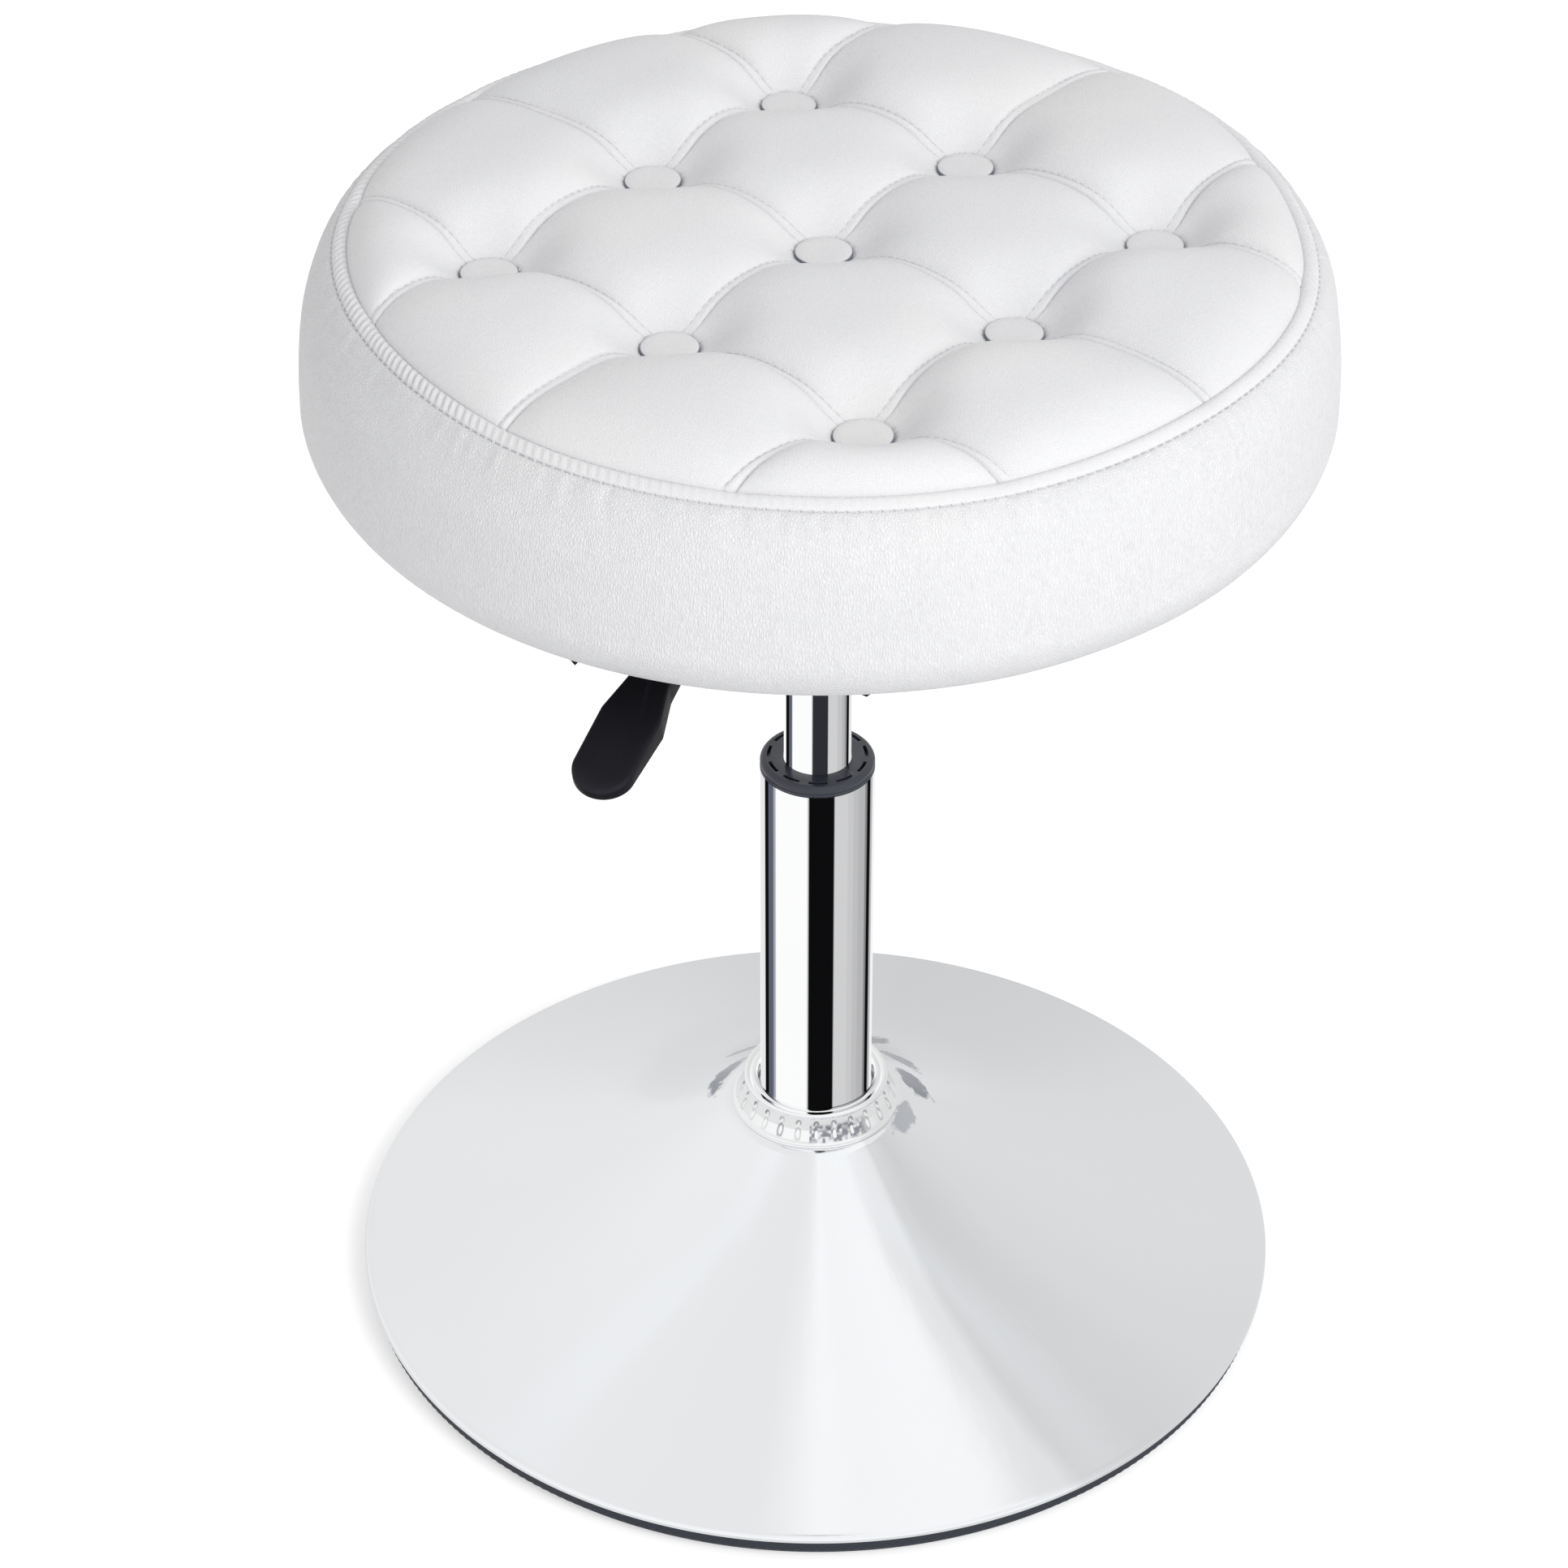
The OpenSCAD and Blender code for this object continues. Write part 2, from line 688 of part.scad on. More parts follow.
// Piston rod: stands on the bearing and carries the piston
module piston_rod() {
    color("#d5d8dc")
        difference() {
            union() {
                translate([0, 0, rod_foot_z])
                    cylinder(r = rod_foot_r, h = rod_shoulder_z - rod_foot_z);
                translate([0, 0, rod_shoulder_z])
                    cylinder(r = rod_r, h = piston_top_z - rod_shoulder_z);
            }
            tube(2 * rod_foot_r, groove_r, clip_z - lay_gap, clip_t + lay_gap);
        }
}
module bump_stop() {
    color("#26282c")
        tube(bump_r, rod_r + slip_gap, rod_shoulder_z + loose_gap, bump_len);
}
module piston() {
    color("#a9adb2")
        difference() {
            tube(chamber_r - lay_gap, rod_r + slip_gap, piston_z, piston_len);
            translate([0, 0, piston_z + piston_len / 2])
                rotate_extrude()
                    translate([seal_ring_r, 0])
                        circle(r = seal_r + slip_gap);
        }
}
module piston_seal() {
    color("#1e1f22")
        translate([0, 0, piston_z + piston_len / 2])
            rotate_extrude()
                translate([seal_ring_r, 0])
                    circle(r = seal_r);
}

// Gas cylinder with a tapered head, a gas chamber and the release pin's bore
module gas_cylinder() {
    color("#c9cdd2")
        difference() {
            union() {
                translate([0, 0, cylinder_z])
                    cylinder(r = cylinder_r, h = head_z - cylinder_z);
                translate([0, 0, head_z])
                    cylinder(r1 = cylinder_r, r2 = head_r, h = head_len);
            }
            translate([0, 0, cylinder_z - cut])
                cylinder(r = chamber_r, h = chamber_roof_z - cylinder_z + cut);
            translate([0, 0, chamber_roof_z - cut])
                cylinder(r = valve_hole_r, h = cylinder_top_z - chamber_roof_z);
            translate([0, 0, pin_bore_z])
                cylinder(r = pin_r + slip_gap, h = cylinder_top_z - pin_bore_z + cut);
        }
}
module rod_guide_seal() {
    color("#2a2c30")
        tube(chamber_r - slip_gap, rod_r + slip_gap, cylinder_z, guide_len);
}
module release_pin() {
    color("#d8d2c0")
        translate([0, 0, pin_foot_z])
            cylinder(r = pin_r, h = pin_top_z - pin_foot_z);
}

// Pressed steel plate under the seat, with a deep round pan for the lever
module mechanism_plate() {
    color("#1d1f23")
        difference() {
            union() {
                at_lever()
                    translate([0, 0, mech_z])
                        difference() {
                            round_plate(mech_w, mech_corner_r, mech_t);
                            translate([0, 0, -cut])
                                cylinder(r = pan_rim_r - mech_t / 2, h = mech_t + 2 * cut);
                        }
                rotate_extrude()
                    polygon([
                        [head_r + loose_gap, pan_z],
                        [pan_r, pan_z],
                        [pan_rim_r, mech_z],
                        [pan_rim_r, mech_top_z],
                        [pan_rim_r - mech_t, mech_top_z],
                        [pan_r - mech_t / 2, pan_z + mech_t],
                        [head_r + loose_gap, pan_z + mech_t]
                    ]);
            }
            at_bolts()
                translate([0, 0, mech_z - cut])
                    cylinder(r = bolt_hole_r, h = mech_t + 2 * cut);
            at_lever()
                translate([pan_r - 2 * mech_t, -lever_slot_w / 2, lever_slot_z])
                    cube([pan_rim_r - pan_r + 4 * mech_t, lever_slot_w, lever_slot_h]);
        }
}

// Hub welded under the pan, bored to the cylinder's tapered head
module mechanism_hub() {
    color("#1d1f23")
        difference() {
            translate([0, 0, hub_z])
                cylinder(r = hub_r, h = hub_h);
            translate([0, 0, head_z])
                cylinder(r1 = cylinder_r + slip_gap, r2 = head_r + slip_gap, h = head_len);
            translate([0, 0, hub_z - cut])
                cylinder(r = cylinder_r + slip_gap, h = head_z - hub_z + 2 * cut);
        }
}

// Two ears in the pan that hold the lever's cross pin
module lever_bracket() {
    color("#2a2c30")
        difference() {
            at_lever()
                for (side = [-1, 1])
                    translate([
                        lever_pivot_x - ear_w / 2,
                        side * (ear_gap + ear_t / 2) - ear_t / 2,
                        pan_z + mech_t
                    ])
                        cube([ear_w, ear_t, ear_top_z - pan_z - mech_t]);
            at_lever_pivot()
                rotate([90, 0, 0])
                    translate([0, 0, -pivot_len])
                        cylinder(r = pivot_r + slip_gap / 2, h = 2 * pivot_len);
        }
}
module lever_pivot_pin() {
    color("#b9bdc2")
        at_lever_pivot()
            rotate([90, 0, 0])
                translate([0, 0, -pivot_len / 2])
                    cylinder(r = pivot_r, h = pivot_len);
}

// Lever: steel rod with a boss at the pivot
module lever_arm() {
    color("#303338")
        at_lever_pivot()
            difference() {
                union() {
                    rotate([0, 90, 0])
                        translate([0, 0, rod_start_s])
                            cylinder(r = lever_rod_r, h = rod_end_s - rod_start_s);
                    rotate([90, 0, 0])
                        translate([0, 0, -pivot_boss_w / 2])
                            cylinder(r = pivot_boss_r, h = pivot_boss_w);
                }
                rotate([90, 0, 0])
                    translate([0, 0, -pivot_boss_w])
                        cylinder(r = pivot_r + slip_gap, h = 2 * pivot_boss_w);
            }
}

// Black grip: a neck that widens over two shoulders into a round-ended paddle
module grip_outline() {
    translate([grip_start_s, -grip_neck_w / 2])
        square([paddle_start_s - grip_start_s, grip_neck_w]);
    polygon([
        [paddle_start_s - shoulder_len, -grip_neck_w / 2],
        [paddle_start_s + shoulder_len, -paddle_w / 2],
        [paddle_start_s + shoulder_len, paddle_w / 2],
        [paddle_start_s - shoulder_len, grip_neck_w / 2]
    ]);
    translate([paddle_start_s + shoulder_len, -paddle_w / 2])
        square([paddle_len - shoulder_len - paddle_w / 2, paddle_w]);
    translate([grip_tip_s - paddle_w / 2, 0])
        circle(r = paddle_w / 2);
}
module grip_side() {
    translate([grip_start_s, -grip_neck_t / 2])
        square([paddle_start_s - grip_start_s, grip_neck_t]);
    polygon([
        [paddle_start_s, -grip_neck_t / 2],
        [grip_tip_s - paddle_w / 2, grip_neck_t / 2 - paddle_t],
        [grip_tip_s, grip_neck_t / 2 - paddle_t],
        [grip_tip_s, grip_neck_t / 2 - paddle_t / 4],
        [grip_tip_s - paddle_w / 2, grip_neck_t / 2],
        [paddle_start_s, grip_neck_t / 2]
    ]);
}
module lever_grip() {
    color("#17181b")
        at_lever_pivot()
            difference() {
                intersection() {
                    translate([0, 0, -grip_neck_t])
                        linear_extrude(2 * grip_neck_t)
                            grip_outline();
                    rotate([90, 0, 0])
                        translate([0, 0, -paddle_w])
                            linear_extrude(2 * paddle_w)
                                grip_side();
                }
                rotate([0, 90, 0])
                    translate([0, 0, grip_start_s - cut])
                        cylinder(r = lever_rod_r + slip_gap, h = rod_end_s - grip_start_s + 2 * cut);
            }
}

// Four hex bolts, their washers and the tee nuts in the board
module mounting_bolts() {
    color("#b9bdc2")
        at_bolts() {
            translate([0, 0, bolt_washer_z - lay_gap - bolt_head_t])
                cylinder(r = bolt_head_r, h = bolt_head_t, $fn = 6);
            translate([0, 0, bolt_washer_z - lay_gap - bolt_head_t / 2])
                cylinder(r = bolt_r, h = board_top_z - bolt_washer_z + lay_gap + bolt_head_t / 2);
        }
}
module bolt_washers() {
    color("#c9cdd2")
        at_bolts()
            tube(bolt_washer_r, bolt_r + slip_gap, bolt_washer_z, bolt_washer_t);
}
module tee_nuts() {
    color("#a9adb2")
        at_bolts()
            difference() {
                union() {
                    translate([0, 0, board_z + board_t / 3])
                        cylinder(r = tee_barrel_r, h = 2 / 3 * board_t);
                    translate([0, 0, board_top_z])
                        cylinder(r = tee_flange_r, h = tee_flange_t);
                }
                translate([0, 0, board_z])
                    cylinder(r = bolt_r + slip_gap, h = board_t + 2 * tee_flange_t);
            }
}

// Plywood board, drilled for the bolts and the button twine
module seat_board() {
    color("#c8a676")
        difference() {
            translate([0, 0, board_z])
                cylinder(r = board_r, h = board_t);
            at_bolts() {
                translate([0, 0, board_z - cut])
                    cylinder(r = bolt_hole_r, h = board_t + 2 * cut);
                translate([0, 0, board_z + board_t / 3 - slip_gap])
                    cylinder(r = tee_barrel_r + slip_gap, h = board_t);
            }
            at_buttons() {
                translate([0, 0, board_z - cut])
                    cylinder(r = tie_hole_r, h = board_t + 2 * cut);
                translate([0, 0, board_z - cut])
                    cylinder(r = tie_washer_r + slip_gap, h = tie_pocket_h + cut);
            }
        }
}

// Foam block that fills the side band
module seat_foam() {
    color("#efe3c2")
        difference() {
            rotate_extrude()
                polygon(concat(
                    [[0, foam_z], [0, foam_top_z]],
                    [for (p = band_upper(band_t + loose_gap)) [p[0], min(p[1], foam_top_z)]],
                    [for (p = band_lower(band_t + loose_gap)) if (p[1] > foam_z) p],
                    [[board_r, foam_z]]
                ));
            at_bolts()
                translate([0, 0, foam_z - cut])
                    cylinder(r = tee_flange_r + loose_gap, h = tee_flange_t + loose_gap + cut);
            at_buttons()
                translate([0, 0, foam_z - cut])
                    cylinder(r = tie_hole_r, h = foam_top_z - foam_z + 2 * cut);
        }
}

// Tufted top: stuffed panels sewn together along the seams, sunk at each button
module seat_top_panel() {
    color("#f3f2ef")
        rotate([0, 0, tuft_azimuth])
            polyhedron(
                points = concat(lattice_points, row_points, foot_points),
                faces = concat(lattice_faces, row_faces, foot_face),
                convexity = 4
            );
}

// Side band sewn to the top at the seam ring and turned under the board
module seat_side_band() {
    color("#ecebe7")
        rotate_extrude()
            polygon(concat(
                [[seam_r + loose_gap, seam_z - lay_gap]],
                [for (p = band_upper(0)) if (p[0] > seam_r + loose_gap) p],
                band_lower(0),
                [[hem_r, band_z], [hem_r, band_z + band_t]],
                reversed(band_lower(band_t)),
                [for (p = reversed(band_upper(band_t))) if (p[0] > seam_r + loose_gap) p],
                [[seam_r + loose_gap, seam_z - band_t]]
            ));
}

// Covered buttons, and the twine that ties each one to a washer under the board
module tuft_buttons() {
    color("#e4e3e0")
        at_buttons()
            translate([0, 0, button_z])
                rotate_extrude()
                    polygon(concat(
                        [[0, 0], [button_r - button_t / 4, 0], [button_r, button_t / 4]],
                        [
                            for (i = [0 : edge_steps])
                                let (a = 90 * i / edge_steps)
                                [button_r * cos(a), button_t / 3 + 2 / 3 * button_t * sin(a)]
                        ]
                    ));
}
module tuft_ties() {
    color("#d9d2bd")
        at_buttons() {
            translate([0, 0, board_z + 2 * lay_gap])
                cylinder(r = twine_r, h = button_z - board_z - 3 * lay_gap);
            translate([0, 0, board_z + 2 * lay_gap])
                cylinder(r = 2 * twine_r, h = twine_r / 2);
        }
}
module tie_washers() {
    color("#c8c4b8")
        at_buttons()
            tube(
                tie_washer_r, tie_hole_r,
                board_z + tie_pocket_h - lay_gap - tie_washer_t, tie_washer_t
            );
}

// Black cloth stapled over the underside
module dust_cover() {
    color("#141416")
        difference() {
            tube(dust_r, dust_hole_r, dust_z, dust_t);
            at_bolts()
                translate([0, 0, dust_z - cut])
                    cylinder(r = bolt_hole_r, h = dust_t + 2 * cut);
        }
}
module cover_staples() {
    color("#9a9ea3")
        for (i = [0 : staple_count - 1])
            rotate([0, 0, 360 * i / staple_count])
                translate([staple_ring_r, 0, dust_z - staple_t]) {
                    translate([-staple_t, -staple_w / 2, 0])
                        cube([2 * staple_t, staple_w, staple_t]);
                    for (side = [0, 1])
                        translate([-staple_t, side * (staple_w - staple_t) - staple_w / 2, 0])
                            cube([2 * staple_t, staple_t, staple_leg]);
                }
}

floor_ring();
weight_plate();
base_dish();
base_socket();
base_collar();
outer_column();
column_end_plate();
guide_bush();
column_cap_ring();
bearing_lower_race();
bearing_balls();
bearing_cage();
bearing_upper_race();
rod_washer();
rod_clip();
piston_rod();
bump_stop();
piston();
piston_seal();
gas_cylinder();
rod_guide_seal();
release_pin();
mechanism_plate();
mechanism_hub();
lever_bracket();
lever_pivot_pin();
lever_arm();
lever_grip();
mounting_bolts();
bolt_washers();
tee_nuts();
seat_board();
seat_foam();
seat_top_panel();
seat_side_band();
tuft_buttons();
tuft_ties();
tie_washers();
dust_cover();
cover_staples();
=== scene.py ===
"""Swivel vanity stool: the looks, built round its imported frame.

Lengths are metres, written as millimetres times MM. The front of the stool
faces -Y and the column stands on the Z axis.
"""

import logging
import math
from collections.abc import Callable, Sequence
from dataclasses import dataclass, field
from enum import Enum

import bmesh
import bpy
import numpy as np
from bmesh.types import BMEdge, BMesh, BMFace, BMVert
from mathutils import Matrix, Vector


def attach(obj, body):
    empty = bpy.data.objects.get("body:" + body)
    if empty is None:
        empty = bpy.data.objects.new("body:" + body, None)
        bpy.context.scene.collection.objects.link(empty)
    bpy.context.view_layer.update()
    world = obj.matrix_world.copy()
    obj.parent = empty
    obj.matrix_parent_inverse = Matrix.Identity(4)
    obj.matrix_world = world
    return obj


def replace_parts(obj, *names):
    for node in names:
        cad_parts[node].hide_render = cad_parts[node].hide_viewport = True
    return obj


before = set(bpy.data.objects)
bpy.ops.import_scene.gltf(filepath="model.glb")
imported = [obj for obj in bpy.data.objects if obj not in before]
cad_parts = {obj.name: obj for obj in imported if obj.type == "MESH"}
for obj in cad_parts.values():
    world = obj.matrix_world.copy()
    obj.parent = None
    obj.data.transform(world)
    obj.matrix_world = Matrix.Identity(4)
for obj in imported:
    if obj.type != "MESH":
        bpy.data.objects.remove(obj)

MM = 0.001
TURN = 2 * math.pi
LOG = logging.getLogger("stool")
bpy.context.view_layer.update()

# The leather pieces measure the seams by attributes, and the leather's material reads them.
RING_REACH = 2 * MM  # how far from a ring seam the attribute seam_near falls to 0
SEAM_REACH = 8 * MM  # how far from a straight seam the attribute seam_close falls to 0
STRIP_W = 3.7 * MM  # distance from a straight seam to the second row of stitches beside it
RING_STITCHES = 290  # stitches in one turn of the ring seams

WHITE = (1.0, 1.0, 1.0)

Array = np.ndarray
Colour = tuple[float, float, float]
Law = Callable[[np.ndarray], np.ndarray]
Object = bpy.types.Object
Point = tuple[float, float, float]
Profile = list[tuple[float, float]]
Socket = bpy.types.NodeSocket


class Body(Enum):
    """The bodies that the new pieces ride on."""

    BASE = "base"
    SEAT = "seat"
    LEVER = "lever"


# ---------------------------------------------------------------- numbers and places
def rgba(colour: Colour, factor: float | Colour = 1.0) -> tuple[float, ...]:
    """A colour with full alpha, multiplied by one factor or by one for each channel."""
    factors = factor if isinstance(factor, tuple) else (factor,) * 3
    return (*(min(1.0, c * f) for c, f in zip(colour, factors)), 1.0)


def within(value: float) -> float:
    """A value held between 0 and 1."""
    return min(1.0, max(0.0, value))


def smoothstep(low: float, high: float, x: Array) -> Array:
    """A soft step from 0 at low to 1 at high."""
    t = np.clip((x - low) / (high - low), 0, 1)
    return t * t * (3 - 2 * t)


def bell(distance: Array, width: float) -> Array:
    """A bell curve that is 1 at distance 0."""
    return np.exp(-((distance / width) ** 2))


def wander(points: Array, scale: float, seed: float) -> Array:
    """Smooth noise from -1 to 1 at some points.

    Args:
        points: One row of coordinates in metres for each point.
        scale: Size of the noise's cells in metres.
        seed: Shift that makes one noise differ from another.

    Returns:
        One value for each point.
    """
    where = points / scale + seed * np.array((1.0, -1.0, 0.5))
    cell = np.floor(where)
    share = where - cell
    share = share * share * (3 - 2 * share)
    total = np.zeros(len(points))
    for corner in np.ndindex(2, 2, 2):
        value = np.sin((cell + corner) @ np.array((12.9898, 78.233, 37.719))) * 43758.5453
        total += (value - np.floor(value)) * np.prod(np.where(corner, share, 1 - share), axis=1)
    return 1.3 * total - 0.65


def polar(points: Array) -> tuple[Array, Array]:
    """Distance from the Z axis and angle round it, for each point."""
    return np.hypot(points[:, 0], points[:, 1]), np.arctan2(points[:, 1], points[:, 0])


def on_circle(turn: Array) -> Array:
    """Points of the circle of radius 1, one row for each angle."""
    return np.column_stack([np.cos(turn), np.sin(turn)])


def seam_hat(distance: Array) -> Array:
    """Nearness to a ring seam: 1 on it, and 0 from RING_REACH on, in a slope that a material can undo."""
    return np.clip(1 - np.abs(distance) / RING_REACH, 0, 1)


def heading(a: Array, b: Array) -> Array:
    """Direction of a seam, the same whichever end comes first."""
    way = (b - a) / np.linalg.norm(b - a)
    return way if way @ np.array((1.0, 0.3)) > 0 else -way


def laid(a: Vector, b: Vector, up: Vector) -> Matrix:
    """Transform that lays a stitch between two points.

    Args:
        a: One end of the stitch.
        b: Its other end.
        up: The leather's outward direction.

    Returns:
        Axes along the stitch, across it and out of the leather, at its middle.
    """
    along = (b - a).normalized()
    side = up.cross(along).normalized()
    axes = Matrix((along, side, along.cross(side))).transposed()
    return Matrix.Translation((a + b) / 2) @ axes.to_4x4()


# ---------------------------------------------------------------- profiles and meshes
def arc(cx: float, cz: float, radius: float, start: float, end: float, steps: int) -> Profile:
    """Points on an arc of a profile, from one angle in degrees to another."""
    angles = [math.radians(start + (end - start) * i / steps) for i in range(steps + 1)]
    return [(cx + radius * math.cos(a), cz + radius * math.sin(a)) for a in angles]


def line(start: tuple[float, float], end: tuple[float, float], steps: int) -> Profile:
    """Evenly spaced points between two points of a profile, without the last."""
    (r, z), (far_r, far_z) = start, end
    return [(r + (far_r - r) * i / steps, z + (far_z - z) * i / steps) for i in range(steps)]


def in_mm(points: Sequence[tuple[float, float]], foot: float = 0.0) -> Profile:
    """A profile written in millimetres over its foot, as metres over the floor."""
    return [(r * MM, foot + z * MM) for r, z in points]


def only(kind: type, geometry: Sequence[BMVert | BMEdge | BMFace]) -> list:
    """The vertices, edges or faces among what an operator made."""
    return [element for element in geometry if isinstance(element, kind)]


def spin_profile(profile: Sequence[tuple[float, float]], steps: int, closed: bool = True) -> BMesh:
    """Turns a profile once round the Z axis.

    Args:
        profile: Radius and height of each point, in metres.
        steps: Number of steps of the full turn.
        closed: Whether the last point is joined to the first.

    Returns:
        The turned shape, with its faces outwards.
    """
    loop = [*profile, profile[0]] if closed else list(profile)
    cells = len(loop) - 1
    bm = bmesh.new()
    bmesh.ops.create_grid(bm, x_segments=cells, y_segments=steps, size=0.5)
    for vert in bm.verts:
        r, z = loop[round((vert.co.x + 0.5) * cells)]
        turn = round((vert.co.y + 0.5) * steps) % steps * TURN / steps
        vert.co = (r * math.cos(turn), r * math.sin(turn), z)
    bmesh.ops.remove_doubles(bm, verts=bm.verts, dist=1e-7)
    bmesh.ops.recalc_face_normals(bm, faces=bm.faces)
    return bm


def merge_at(shape: BMesh, places: Sequence[Matrix]) -> BMesh:
    """Copies a shape, which is freed, to each of several transforms in one new bmesh."""
    source = bpy.data.meshes.new("copied")
    shape.to_mesh(source)
    shape.free()
    together = bmesh.new()
    for place in places:
        before = len(together.verts)
        together.from_mesh(source)
        together.verts.ensure_lookup_table()
        bmesh.ops.transform(together, matrix=place, verts=together.verts[before:])
    bpy.data.meshes.remove(source)
    return together


def add_object(name: str, data: bpy.types.ID) -> Object:
    """Adds an object with its data to the scene, at the origin."""
    made = bpy.data.objects.new(name, data)
    bpy.context.scene.collection.objects.link(made)
    return made


def new_object(bm: BMesh, name: str, sharp: float = 40) -> Object:
    """Turns a bmesh into a smooth-shaded object at the origin.

    Args:
        bm: The shape, which is freed.
        name: Name of the object.
        sharp: Edges that turn by more than this many degrees stay crisp.

    Returns:
        The new object.
    """
    mesh = bpy.data.meshes.new(name)
    bm.to_mesh(mesh)
    bm.free()
    mesh.shade_smooth()
    mesh.set_sharp_from_angle(angle=math.radians(sharp))
    return add_object(name, mesh)


def read_points(piece: Object) -> Array:
    """All vertex places of a piece, one row each."""
    flat = np.zeros(len(piece.data.vertices) * 3)
    piece.data.vertices.foreach_get("co", flat)
    return flat.reshape(-1, 3)


def write_points(piece: Object, points: Array) -> None:
    """Moves all vertices of a piece to new places."""
    piece.data.vertices.foreach_set("co", np.ascontiguousarray(points).ravel())
    piece.data.update()


def mark(piece: Object, name: str, values: Array) -> None:
    """Keeps one number for each vertex as an attribute that materials read."""
    layer = piece.data.attributes.new(name, "FLOAT", "POINT")
    layer.data.foreach_set("value", values.astype(np.float32))


# ------------------------------------------------------------ shared node groups
class Wire:
    """Adds nodes to a tree and joins them."""

    def __init__(self, tree: bpy.types.NodeTree) -> None:
        """Starts on a tree."""
        self.tree = tree

    @classmethod
    def blank(cls, owner: bpy.types.Material | bpy.types.World) -> "Wire":
        """Starts on the emptied tree of a material or world."""
        owner.use_nodes = True
        owner.node_tree.nodes.clear()
        return cls(owner.node_tree)

    def join(self, value: object, socket: Socket) -> None:
        """Feeds a socket with another node's output or with a plain value."""
        if isinstance(value, Socket):
            self.tree.links.new(value, socket)
        else:
            socket.default_value = value

    def add(self, kind: str, inputs: dict | None = None, **settings: object) -> bpy.types.Node:
        """Adds a node.

        Args:
            kind: Type of the node, without ShaderNode.
            inputs: A value or an output socket for each input's name or number.
            **settings: Properties of the node.

        Returns:
            The new node.
        """
        node = self.tree.nodes.new("ShaderNode" + kind)
        for key, value in settings.items():
            setattr(node, key, value)
        for key, value in (inputs or {}).items():
            self.join(value, node.inputs[key])
        return node

    def group(self, made: bpy.types.NodeTree, inputs: dict) -> bpy.types.bpy_prop_collection:
        """Places a shared group with its own values, and gives its outputs."""
        return self.add("Group", inputs, node_tree=made).outputs

    def math(self, operation: str, a: object, b: object = 0.0, clamp: bool = False) -> Socket:
        """A Math node's result."""
        return self.add("Math", {0: a, 1: b}, operation=operation, use_clamp=clamp).outputs[0]

    def times(self, a: object, b: object, clamp: bool = False) -> Socket:
        """A product."""
        return self.math("MULTIPLY", a, b, clamp)

    def plus(self, a: object, b: object) -> Socket:
        """A sum."""
        return self.math("ADD", a, b)

    def bell(self, value: object, centre: float, width: float) -> Socket:
        """A bell curve of a value round a centre."""
        off = self.math("DIVIDE", self.math("SUBTRACT", value, centre), width)
        return self.math("EXPONENT", self.times(self.times(off, off), -1.0))

    def vector(self, operation: str, a: object, b: object = (0.0, 0.0, 0.0)) -> Socket:
        """A Vector Math node's result."""
        node = self.add("VectorMath", {0: a, 1: b}, operation=operation)
        return node.outputs["Value" if operation == "LENGTH" else "Vector"]

    def mix(self, share: object, a: object, b: object, blend: str = "MIX") -> Socket:
        """A colour Mix node's result."""
        first, second, result = 6, 7, 2  # the node's sockets for colours
        inputs = {"Factor": share, first: a, second: b}
        return self.add("Mix", inputs, data_type="RGBA", blend_type=blend).outputs[result]

    def pick(self, share: Socket, a: Socket, b: Socket) -> Socket:
        """A Mix Shader node's result."""
        return self.add("MixShader", {0: share, 1: a, 2: b}).outputs[0]

    def ramp(self, value: object, stops: Sequence[tuple[float, Colour | float]]) -> Socket:
        """A ramp of the value, from pairs of place and grey level or colour."""
        node = self.add("ValToRGB", {"Fac": value})
        ramp = node.color_ramp
        while len(ramp.elements) < len(stops):
            ramp.elements.new(1.0)
        for element, (place, level) in zip(ramp.elements, stops):
            element.position = within(place)
            element.color = rgba(level if isinstance(level, tuple) else (level,) * 3)
        return node.outputs["Color"]

    def spread(self, value: Socket, low: float, high: float) -> Socket:
        """Maps a 0 to 1 value to a range."""
        return self.add("MapRange", {"Value": value, "To Min": low, "To Max": high}).outputs[0]

    def noise(self, place: Socket, scale: object, detail: float, roughness: float = 0.5,
              output: str = "Fac") -> Socket:
        """A Noise Texture node's result."""
        inputs = {"Vector": place, "Scale": scale, "Detail": detail, "Roughness": roughness}
        return self.add("TexNoise", inputs).outputs[output]

    def attribute(self, name: str) -> Socket:
        """The number that a mesh keeps under a name."""
        return self.add("Attribute", attribute_name=name).outputs["Fac"]

    def place(self) -> Socket:
        """The Object coordinates."""
        return self.add("TexCoord").outputs["Object"]

    def axes(self, place: Socket) -> list[Socket]:
        """The three coordinates of a place."""
        return list(self.add("SeparateXYZ", {"Vector": place}).outputs)

    def half(self, value: Socket) -> Socket:
        """Maps a value of -1 to 1 to the 0 to 1 of a ramp."""
        return self.plus(self.times(value, 0.5), 0.5)

    def bearing(self, place: Socket) -> Socket:
        """Angle round the Z axis as a share: 0.5 is the front, 0.75 the right side."""
        x, y, _ = self.axes(place)
        turn = self.math("ARCTAN2", x, self.times(y, -1.0))
        return self.plus(self.math("DIVIDE", turn, TURN), 0.5)

    def bump(self, height: Socket, depth: float, into: bpy.types.bpy_prop_collection) -> None:
        """Bends a shader's normal by a height."""
        node = self.add("Bump", {"Height": height, "Strength": 1.0, "Distance": depth})
        self.join(node.outputs[0], into["Normal"])


